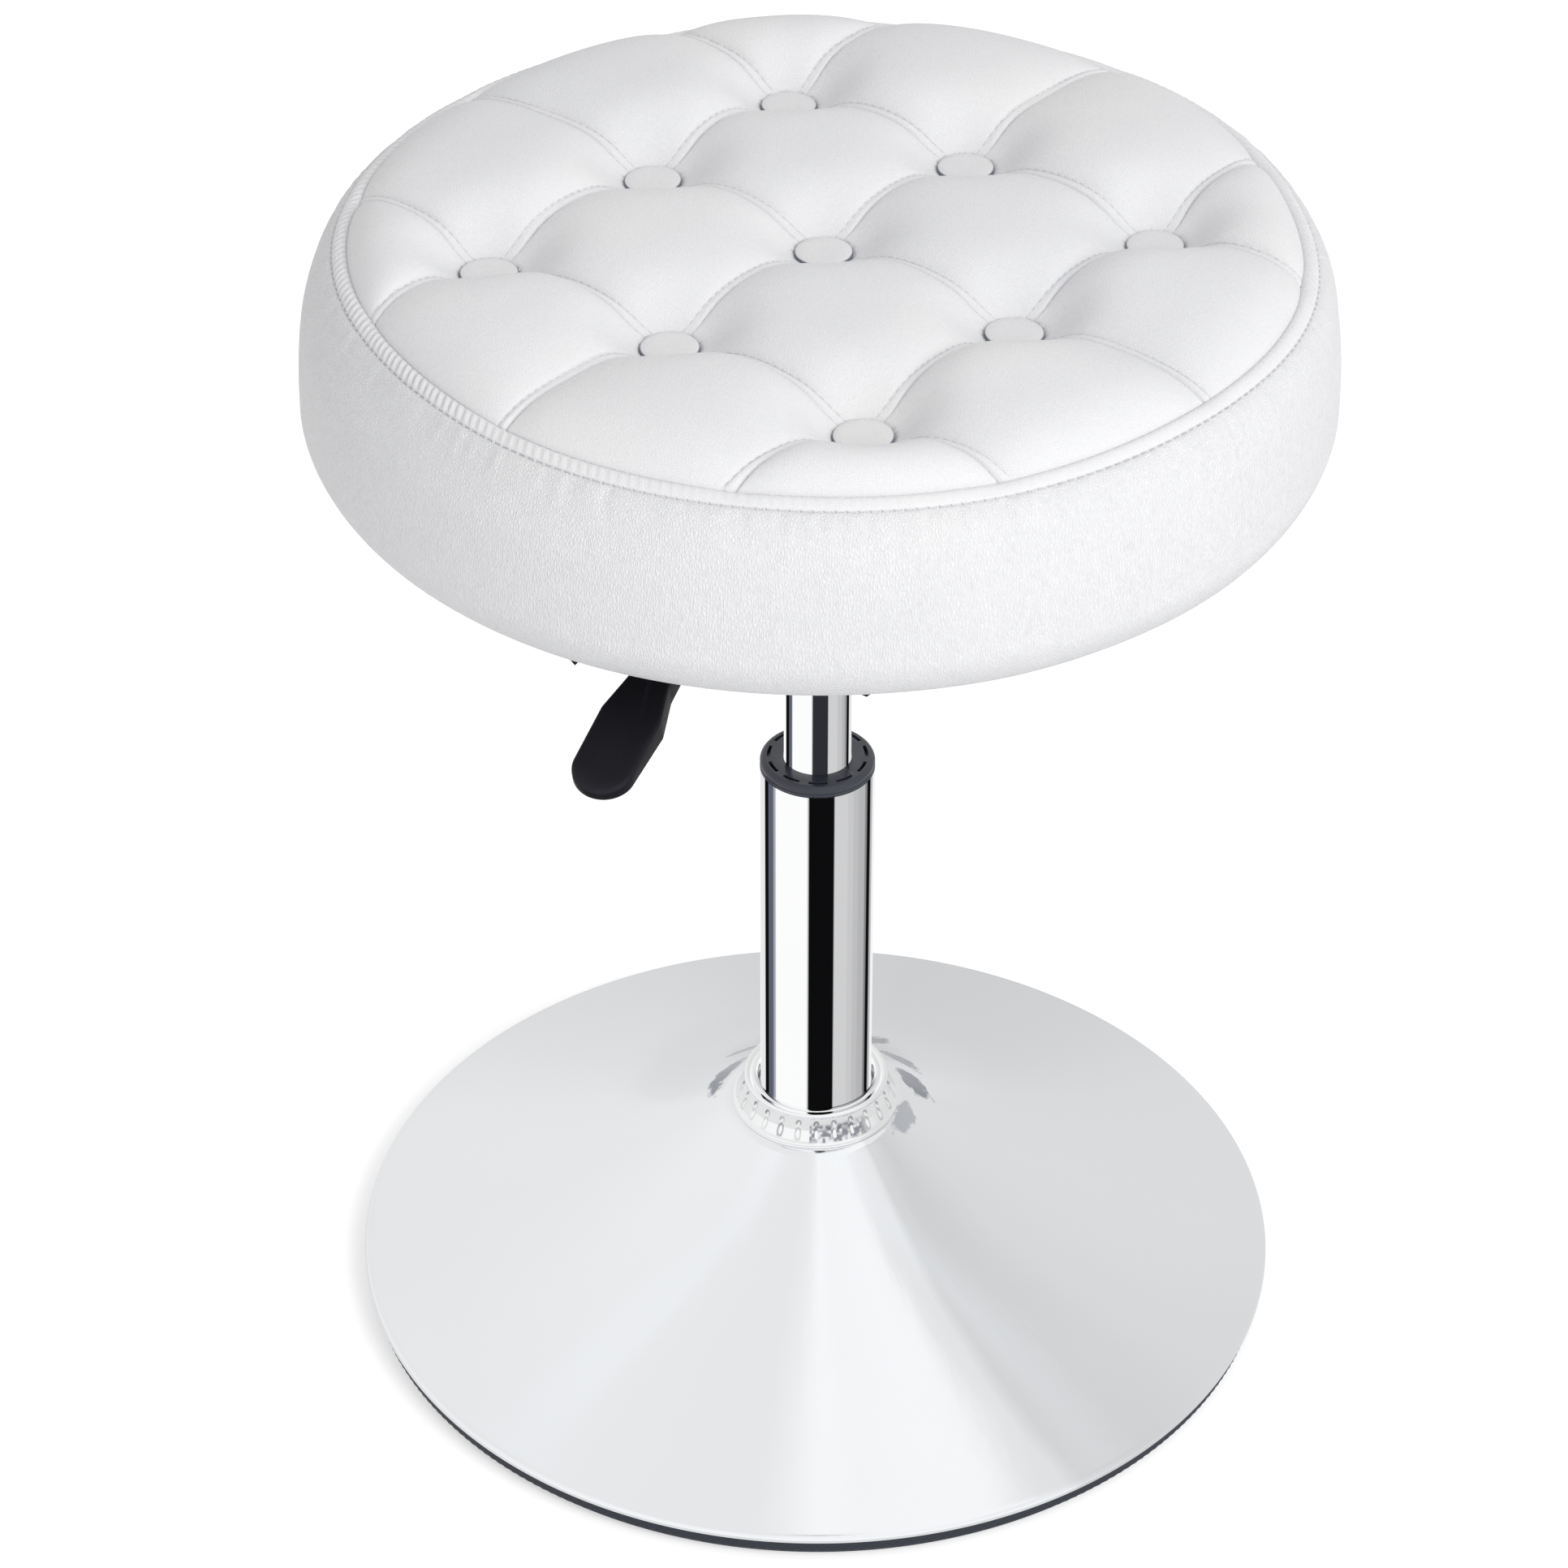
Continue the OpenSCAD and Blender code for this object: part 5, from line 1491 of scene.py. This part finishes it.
    def _band_profile(self, inset: float, steps: int) -> Profile:
        """The band's outline from the topstitch down to the turned-under hem, drawn in by inset."""
        shape = self.shape
        upper, lower = 2 / 2.37, 2 / 1.65  # the roundness of the two halves
        full_r, crest = shape.widest_r - inset, shape.seam_z - inset
        line_a = math.acos((shape.welt_w / (full_r - shape.seam_r)) ** (1 / upper))
        hidden = [line_a + math.radians(7), line_a + math.radians(3)]
        points: Profile = []
        for a in hidden + [line_a * (1 - i / steps) ** 1.2 for i in range(steps + 1)]:
            r = shape.seam_r + (full_r - shape.seam_r) * math.cos(a) ** upper
            z = shape.widest_z + (crest - shape.widest_z) * math.sin(a) ** upper
            out = (r - shape.seam_r - shape.welt_w) / (7 * MM)
            points.append((r, z - 0.8 * MM * max(0.0, 1 - max(0.0, out)) - 2.6 * MM * max(0.0, -out)))
        for i in range(1, steps // 2 + 1):
            a = math.radians(90 * i / (steps // 2))
            r = shape.under_r + (full_r - shape.under_r) * max(0, math.cos(a)) ** lower
            z = shape.widest_z - (shape.widest_z - shape.under_z - inset) * math.sin(a) ** lower
            points.append((r, z))
        return points

    def band(self) -> Object:
        """The side band: a full bulge, a sewn join, and drag creases under the topstitch."""
        shape = self.shape
        profile = [
            *self._band_profile(0, 44),
            *line((shape.under_r, shape.under_z), (shape.hem_r, shape.under_z), 4)[1:],
            (shape.hem_r, shape.under_z), (shape.hem_r, shape.under_z + shape.cover),
            *reversed(self._band_profile(shape.cover, 16)),
        ]
        piece = new_object(spin_profile(profile, 900), "seat_side_cover", sharp=80)
        points = read_points(piece)
        radius, turn = polar(points)
        z = points[:, 2]
        join = math.radians(-40)
        rel = (turn - join + math.pi) % TURN - math.pi
        rel = rel - 0.7 * np.sin(rel)  # the mesh is finer at the join
        turn = rel + join
        ring = on_circle(turn)
        face = smoothstep(-0.5 * MM, 0.2 * MM, radius - self._inner_limit(z))
        below = np.maximum(0, shape.welt_z - z)
        out = radius - shape.seam_r - shape.welt_w
        slow = wander(np.column_stack([ring * 0.2, z]), 60 * MM, 1.7)
        fold = wander(np.column_stack([ring * 0.2, z * 0.12]), 3.6 * MM, 4.4)
        left = 0.35 + 0.65 * (0.5 + 0.5 * np.cos(turn - math.radians(205)))
        crease = left * fold * bell(below, 9 * MM) * smoothstep(0, 0.8 * MM, below)
        along = rel * shape.widest_r
        groove = 0.22 * MM * bell(along, 0.8 * MM) * (below > 1 * MM)
        puff = 0.05 * MM * bell(np.abs(along) - 3.5 * MM, 2.6 * MM)
        calm = smoothstep(0, 6 * MM, below)
        move = (0.7 * MM * slow * calm + 1.2 * MM * crease - groove + puff) * face
        follow = smoothstep(480 * MM, 503 * MM, z)
        move += (shape.mean_ring(turn - math.radians(shape.azimuth)) - shape.seam_r) * follow
        upper = face * (z > shape.widest_z)
        sink = 0.45 * MM * bell(out, 0.6 * MM) * upper
        write_points(piece, np.column_stack([ring * (radius + move)[:, None], z - sink]))
        # Painted shade in the groove of the sewn join.
        mark(piece, "painted_shade", 0.07 * bell(along, 0.45 * MM) * (below > 1 * MM) * face)
        mark(piece, "seam_near", seam_hat(out) * upper)
        self.palette.dress(piece, "white_leather", Body.SEAT, "band_leather")
        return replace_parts(piece, "seat_side_band")

    def _inner_limit(self, z: Array) -> Array:
        """Radius halfway through the band's cover at a height, which parts its face from its back."""
        radii, heights = np.array(self._band_profile(self.shape.cover / 2, 60)).T
        order = np.argsort(heights)
        return np.interp(z, heights[order], radii[order])

    # -- buttons, stitches and under cloth
    def buttons(self) -> Object:
        """The nine covered buttons, domed and drawn in at their edge."""
        shape = self.shape
        r, t = shape.button_r, shape.button_t
        side = t - 1.5 * MM
        profile = [(0.0, 0.0), (r - 1.6 * MM, 0.0), (r - 0.6 * MM, 0.4 * MM), (r - 0.15 * MM, 1.2 * MM)]
        profile += line((r - 0.05 * MM, 1.8 * MM), (r, side), 3)
        for i in range(1, 16):
            a = math.radians(90 * i / 16)
            profile.append((r * math.cos(a) ** 0.42, side + (t - side) * math.sin(a) ** 1.1))
        profile.append((0.0, t))
        places = []
        for (x, y), drop in zip(*shape.buttons()):
            tilt = Matrix.Rotation(math.radians(2.0 * math.sin(x * 61 + y * 37)), 4, "X")
            places.append(shape.turned() @ Matrix.Translation((x, y, shape.button_z - drop)) @ tilt)
        covers = merge_at(spin_profile(profile, 64, closed=False), places)
        piece = new_object(covers, "tuft_button_covers", sharp=70)
        heads = np.array([place.translation for place in places])
        apart = np.linalg.norm(read_points(piece)[:, None, :2] - heads[None, :, :2], axis=2)
        # Painted shade where each button's edge meets the leather.
        mark(piece, "painted_shade", 0.9 * smoothstep(0.955 * r, 0.985 * r, apart.min(1)))
        self.palette.dress(piece, "button_leather", Body.SEAT)
        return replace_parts(piece, "tuft_buttons")

    @staticmethod
    def _stitch(thick: float, length: float = 1.5 * MM) -> BMesh:
        """One stitch: a short thread that dips into the leather at both ends."""
        bm = bmesh.new()
        bmesh.ops.create_cone(
            bm, cap_ends=True, segments=6, radius1=thick, radius2=thick, depth=length * 0.7,
            matrix=Matrix.Rotation(math.pi / 2, 4, "Y"),
        )
        for face in [f for f in bm.faces if len(f.verts) == 6]:
            way = 1 if face.calc_center_median().x > 0 else -1
            verts = only(BMVert, bmesh.ops.extrude_face_region(bm, geom=[face])["geom"])
            bmesh.ops.translate(bm, verts=verts, vec=(way * length * 0.15, 0, -thick * 0.9))
            centre = Matrix.Translation((-way * length / 2, 0, thick * 0.9))
            bmesh.ops.scale(bm, verts=verts, vec=(1, 0.5, 0.5), space=centre)
            bmesh.ops.delete(bm, geom=[face], context="FACES_ONLY")
        return bm

    def ring_stitches(self) -> Object:
        """The topstitch below the welt: one short thread in front of each needle hole."""
        shape, step = self.shape, TURN / RING_STITCHES
        places = []
        for turn in (np.arange(RING_STITCHES) + 0.86) * step - math.pi / 2:
            ends = []
            for at in (turn - 0.16 * step, turn + 0.16 * step):
                radius = float(shape.mean_ring(np.array(at - math.radians(shape.azimuth)))) + shape.welt_w
                ends.append(Vector((radius * math.cos(at), radius * math.sin(at), shape.welt_z - 0.25 * MM)))
            places.append(laid(*ends, Vector((0.45 * math.cos(turn), 0.45 * math.sin(turn), 0.89))))
        piece = new_object(merge_at(self._stitch(0.32 * MM), places), "seat_topstitch", sharp=60)
        return self.palette.dress(piece, "twine", Body.SEAT, "seam_thread")

    def _straight_seams(self) -> list[tuple[Array, Array, Array, bool]]:
        """Start, end and strip side of every straight seam, and whether it runs to the ring."""
        shape = self.shape
        left, up = np.array([-1.0, 0.0]), np.array([0.0, 1.0])
        seams = []
        for k in (-1, 0, 1):
            for cell in (-1, 0):
                for ends, side in ((((k, cell), (k, cell + 1)), left), (((cell, k), (cell + 1, k)), up)):
                    a, b = shape.shifted(np.array(ends, dtype=float) * shape.pitch)
                    seams.append((a, b, side, False))
        for k in range(12):
            corner = np.array([1.0, 0.0 if k % 3 == 0 else 1.0])
            for _ in range(k // 3):
                corner = np.array([-corner[1], corner[0]])
            a = shape.shifted(corner[None] * shape.pitch)[0]
            turn = np.array([k * TURN / 12])
            b = (on_circle(turn) * shape.ring_r(turn)[:, None])[0]
            seams.append((a, b, up if abs((b - a)[0]) > abs((b - a)[1]) else left, True))
        return seams

    def seam_stitches(self, top: Object) -> Object:
        """Stitches along the strip beside every straight seam of the tufted top."""
        back, down = self.shape.turned(), Vector((0, 0, -1))
        at_button, at_ring, half = 12.5 * MM, 1.5 * MM, 0.65 * MM
        places: list[Matrix] = []
        for a, b, wanted, to_ring in self._straight_seams():
            way = heading(a, b)
            side = np.array([-way[1], way[0]])
            side = side if side @ wanted > 0 else -side
            clear = [at_button, at_ring if to_ring else at_button]
            low, high = sorted((float(a @ way), float(b @ way)))
            if a @ way > b @ way:
                clear.reverse()
            first, last = (low + clear[0]) / self.stitch, (high - clear[1]) / self.stitch
            for k in range(math.ceil(first - self.dash_at), math.floor(last - self.dash_at) + 1):
                middle = a + way * ((k + self.dash_at) * self.stitch - a @ way) + side * STRIP_W
                above = [back @ Vector((*(middle + way * off), 0.6)) for off in (-half, half)]
                found = [top.ray_cast(spot, down)[:3] for spot in above]
                if all(hit for hit, _, _ in found):
                    (_, start, normal), (_, end, other) = found
                    places.append(laid(start, end, (normal + other) / 2))
        piece = new_object(merge_at(self._stitch(0.15 * MM), places), "seat_seam_stitches", sharp=60)
        return self.palette.dress(piece, "twine", Body.SEAT, "seam_thread")

    def twine(self) -> Object:
        """The two-ply twine that holds each button to its washer under the board."""
        shape, steps = self.shape, 40
        low, high = 429.2 * MM, 500.9 * MM
        bm = bmesh.new()
        for side in (-1, 1):
            made = bmesh.ops.create_circle(bm, cap_ends=True, segments=7, radius=0.42 * MM)["verts"]
            bmesh.ops.translate(bm, verts=made, vec=(side * 0.38 * MM, 0, low))
            faces = [f for f in bm.faces if all(v in made for v in f.verts)]
            for _ in range(steps):
                grown = bmesh.ops.extrude_face_region(bm, geom=faces)["geom"]
                bmesh.ops.delete(bm, geom=faces, context="FACES_ONLY")
                faces, verts = only(BMFace, grown), only(BMVert, grown)
                bmesh.ops.translate(bm, verts=verts, vec=(0, 0, (high - low) / steps))
                bmesh.ops.rotate(bm, verts=verts, cent=(0, 0, 0), matrix=Matrix.Rotation(0.45, 3, "Z"))
        bmesh.ops.recalc_face_normals(bm, faces=bm.faces)
        places = [
            shape.turned() @ Matrix.Translation((i * shape.pitch, j * shape.pitch, 0))
            for i in (-1, 0, 1) for j in (-1, 0, 1)
        ]
        piece = new_object(merge_at(bm, places), "tuft_twine")
        self.palette.dress(piece, "twine", Body.SEAT)
        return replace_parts(piece, "tuft_ties")

    def under_cloth(self) -> Object:
        """The black cloth under the seat, puckered between its staples and drooping in three places."""
        inner, outer, z, rows = 53.4 * MM, 186.8 * MM, 425.75 * MM, 46
        # Angle in degrees, half width in mm and depth of each droop.
        droops = ((-119.3, 2.2, 4.2 * MM), (-85.2, 2.0, 2.6 * MM), (-99.5, 0.7, 2.8 * MM))
        profile = [(inner + (outer - inner) * i / rows, z) for i in range(rows + 1)]
        piece = new_object(spin_profile(profile, 432, closed=False), "seat_under_cloth")
        points = read_points(piece)
        radius, turn = polar(points)
        sag = smoothstep(inner, inner + 30 * MM, radius)
        sag = sag * (1 - smoothstep(outer - 26 * MM, outer - 4 * MM, radius))
        pucker = (0.5 + 0.5 * np.cos(turn * 24)) * bell(radius - 178.5 * MM, 7 * MM)
        droop = sum(depth * bell(turn - math.radians(at), wide / 187) for at, wide, depth in droops)
        droop = droop * smoothstep(outer - 9 * MM, outer, radius)
        slow = wander(points, 50 * MM, 6.6)
        points[:, 2] += -(0.9 * MM + 0.5 * MM * slow) * sag + 0.15 * MM * pucker - droop
        write_points(piece, points)
        thick = piece.modifiers.new("thickness", "SOLIDIFY")
        thick.thickness = 0.4 * MM
        thick.offset = 0
        self.palette.dress(piece, "dust_cloth", Body.SEAT)
        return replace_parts(piece, "dust_cover")

    def build(self) -> list[Object]:
        """All pieces of the seat."""
        top = self.top()
        pieces = [top, self.welt(), self.band(), self.buttons(), self.ring_stitches()]
        bpy.context.view_layer.update()
        return pieces + [self.seam_stitches(top), self.twine(), self.under_cloth()]


# ----------------------------------------------------------------------- studio
@dataclass
class Studio:
    """The photographer's room: camera, pale floor, soft light and mirror cards."""

    focal_px: float = 5962.35
    frame_px: float = 1932
    pitch: float = 35.465
    eye: Point = (-13.9 * MM, -1641.5 * MM, 1421.1 * MM)

    def camera(self) -> None:
        """The camera at the photograph's place and angle."""
        data = bpy.data.cameras.new("photo_camera")
        data.sensor_width = 36
        data.lens = self.focal_px * data.sensor_width / self.frame_px
        data.clip_end = 50
        camera = add_object("photo_camera", data)
        camera.location = self.eye
        camera.rotation_euler = (math.radians(90 - self.pitch), 0, 0)
        bpy.context.scene.camera = camera

    def world(self) -> None:
        """A white room for the camera and mirrors, and a softer one for the light."""
        world = bpy.data.worlds.new("white_room")
        bpy.context.scene.world = world
        wire = Wire.blank(world)
        path = wire.add("LightPath").outputs
        x, y, z = wire.axes(wire.add("TexCoord").outputs["Generated"])
        across = wire.ramp(wire.half(x), ((0.0, 0.90), (0.35, 0.84), (0.5, 0.77), (0.66, 0.73), (1.0, 0.75)))
        front = wire.ramp(wire.times(y, -1.0, clamp=True), ((0.0, 0.0), (0.5, 0.9), (1.0, 1.0)))
        mirrored = wire.mix(front, across, rgba((0.97, 0.97, 0.975)))
        high = wire.ramp(z, ((0.80, 0.0), (0.92, 1.0)))
        mirrored = wire.mix(high, mirrored, rgba((0.92, 0.925, 0.935)))
        side = wire.ramp(wire.half(x), ((0.0, 0.36), (0.22, 0.55), (0.5, 0.69), (1.0, 0.92)))
        soft = wire.mix(1.0, side, rgba((0.995, 0.995, 1.0)), "MULTIPLY")
        lit = wire.mix(path["Is Glossy Ray"], soft, mirrored)
        seen = wire.math("MAXIMUM", path["Is Camera Ray"], path["Is Transmission Ray"])
        back = wire.add("Background", {"Color": wire.mix(seen, lit, rgba(WHITE)), "Strength": 1.0})
        wire.add("OutputWorld", {0: back.outputs[0]})

    def floor(self) -> None:
        """A wide pale floor that keeps the stool's soft shadow."""
        bm = bmesh.new()
        bmesh.ops.create_grid(bm, x_segments=1, y_segments=1, size=12)
        floor = new_object(bm, "studio_floor")
        material = bpy.data.materials.new("studio_floor")
        wire = Wire.blank(material)
        path = wire.add("LightPath").outputs
        pale = wire.add("BsdfDiffuse", {"Color": rgba((0.86, 0.86, 0.865))}).outputs[0]
        glow = wire.add("Emission", {"Color": rgba(WHITE), "Strength": 0.45}).outputs[0]
        lifted = wire.add("AddShader", {0: pale, 1: glow}).outputs[0]
        across = wire.ramp(wire.half(wire.axes(wire.place())[0]), ((0.2, 0.80), (0.8, 0.73)))
        mirrored = wire.add("Emission", {"Color": across, "Strength": 1.0}).outputs[0]
        seen = wire.pick(path["Is Camera Ray"], pale, lifted)
        wire.add("OutputMaterial", {0: wire.pick(path["Is Glossy Ray"], seen, mirrored)})
        floor.data.materials.append(material)

    @staticmethod
    def _lamp(name: str, place: Point, aim: Point, size: float, power: float) -> None:
        """A square soft lamp that looks at a point."""
        data = bpy.data.lights.new(name, "AREA")
        data.size = size
        data.energy = power
        lamp = add_object(name, data)
        lamp.location = place
        lamp.rotation_euler = (Vector(aim) - Vector(place)).to_track_quat("-Z", "Y").to_euler()
        lamp.visible_glossy = False

    def lamps(self) -> None:
        """A broad key from the front right and a weak fill from the left."""
        self._lamp("key", (1.5, -1.9, 2.0), (0, 0, 0.35), 1.6, 34)
        self._lamp("fill", (-1.4, -1.6, 0.9), (0, 0, 0.3), 1.6, 6.5)

    @staticmethod
    def _card(name: str, bm: BMesh, tone: Callable[[Wire], Socket]) -> None:
        """A card that only mirrors see, and only on the side that its faces turn to.

        Args:
            name: Name of the card.
            bm: Its shape.
            tone: Builds its colour.
        """
        card = new_object(bm, name)
        material = bpy.data.materials.new(name)
        wire = Wire.blank(material)
        glow = wire.add("Emission", {"Color": tone(wire), "Strength": 1.0}).outputs[0]
        clear = wire.add("BsdfTransparent").outputs[0]
        back = wire.add("NewGeometry").outputs["Backfacing"]
        wire.add("OutputMaterial", {0: wire.pick(back, glow, clear)})
        card.data.materials.append(material)
        for kind in ("camera", "diffuse", "shadow", "transmission"):
            setattr(card, "visible_" + kind, False)

    def sleeve(self, name: str, tube_r: float, gap: float, low: float, high: float,
               bands: Sequence[tuple[float, Colour]]) -> None:
        """A sleeve close round a chrome tube that paints its reflection: the tube mirrors the sleeve's
        colours as stripes of dark and pale cards.

        Args:
            name: Name of the sleeve.
            tube_r: Radius of the tube.
            gap: Distance between tube and sleeve.
            low: Height of its lower end.
            high: Height of its upper end.
            bands: Place across the tube from -1 to 1, with the colour from there on.
        """
        radius = tube_r + gap
        eye_turn = math.degrees(math.atan2(self.eye[0], -self.eye[1]))

        def seen_at(share: float) -> float:
            """The sleeve's angle in degrees that the tube mirrors at a place across it."""
            beta = math.asin(max(-1.0, min(1.0, share)))
            bend = math.degrees(math.asin(tube_r / radius * math.sin(beta)))
            return 2 * math.degrees(beta) - bend + eye_turn

        starts = [(-180.0, WHITE), *((seen_at(share), colour) for share, colour in bands)]
        starts.append((seen_at(1.0), WHITE))
        soft = 0.35  # degrees on each side of a border
        stops: list[tuple[float, Colour]] = []
        for (start, colour), (end, _) in zip(starts, [*starts[1:], (180.0, WHITE)]):
            stops += [((start + soft) / 360 + 0.5, colour), ((end - soft) / 360 + 0.5, colour)]
        bm = spin_profile([(radius, low), (radius, high)], 144, closed=False)
        middle = Vector((0, 0, (low + high) / 2))
        if sum(f.normal.dot(f.calc_center_median() - middle) for f in bm.faces) > 0:
            bmesh.ops.reverse_faces(bm, faces=bm.faces)
        self._card(name, bm, lambda wire: wire.ramp(wire.bearing(wire.place()), stops))

    def cards(self) -> None:
        """The tubes' sleeves and a pale canopy under the seat for the dish to mirror: cards that paint the
        reflections of the tubes and the dish.
        """
        black, slate, coal = (0.004, 0.004, 0.0045), (0.11, 0.12, 0.165), (0.028, 0.029, 0.035)
        silver, dull = (0.64, 0.64, 0.645), (0.47, 0.47, 0.475)
        self.sleeve("mirror_sleeve_low", 24 * MM, 0.9 * MM, 84 * MM, 261.4 * MM, (
            (-0.99, (0.83, 0.83, 0.84)), (-0.905, black), (-0.845, slate), (-0.757, (0.42, 0.42, 0.44)),
            (-0.722, WHITE), (-0.155, black), (0.302, silver), (0.53, (0.59, 0.59, 0.595)),
            (0.63, (0.53, 0.53, 0.535)), (0.72, dull), (0.83, (0.25, 0.25, 0.255)), (0.86, black),
            (0.918, (0.5, 0.5, 0.51)), (0.953, (0.92, 0.92, 0.93)),
        ))
        self.sleeve("mirror_sleeve_high", 14 * MM, 0.14 * MM, 262 * MM, 400 * MM, (
            (-0.93, black), (-0.84, slate), (-0.745, WHITE), (-0.16, coal), (0.305, silver),
            (0.58, (0.56, 0.56, 0.565)), (0.72, dull), (0.80, (0.3, 0.3, 0.305)), (0.85, black),
            (0.92, (0.8, 0.8, 0.81)),
        ))
        roof = spin_profile([(17 * MM, 336 * MM), (205 * MM, 336 * MM)], 96, closed=False)
        if sum(f.normal.z for f in roof.faces) > 0:
            bmesh.ops.reverse_faces(roof, faces=roof.faces)

        def canopy(wire: Wire) -> Socket:
            """Tones of the dish's painted reflection, from left to right over its width."""
            share = wire.plus(wire.times(wire.axes(wire.place())[0], 2.4), 0.5)
            return wire.ramp(share, (
                (0.05, 0.84), (0.40, 0.84), (0.47, 0.90), (0.50, 1.0), (0.56, 0.94), (0.70, 0.96),
                (0.84, 0.97), (0.88, 0.79), (0.97, 0.76),
            ))

        self._card("mirror_canopy", roof, canopy)

    def build(self) -> None:
        """The whole studio."""
        self.camera()
        self.world()
        self.floor()
        self.lamps()
        self.cards()
        bpy.context.scene.view_settings.view_transform = "Standard"


def main() -> None:
    """Builds the stool's pieces and the studio, and reports each piece."""
    logging.basicConfig(level=logging.INFO, format="%(name)s: %(message)s")
    palette = Palette()
    palette.dress_nodes()
    Studio().build()
    for assembly in (Base(palette), Column(palette), Lever(palette), Seat(palette)):
        for piece in assembly.build():
            LOG.info("%s: %d faces", piece.name, len(piece.data.polygons))


if __name__ == "__main__":
    main()
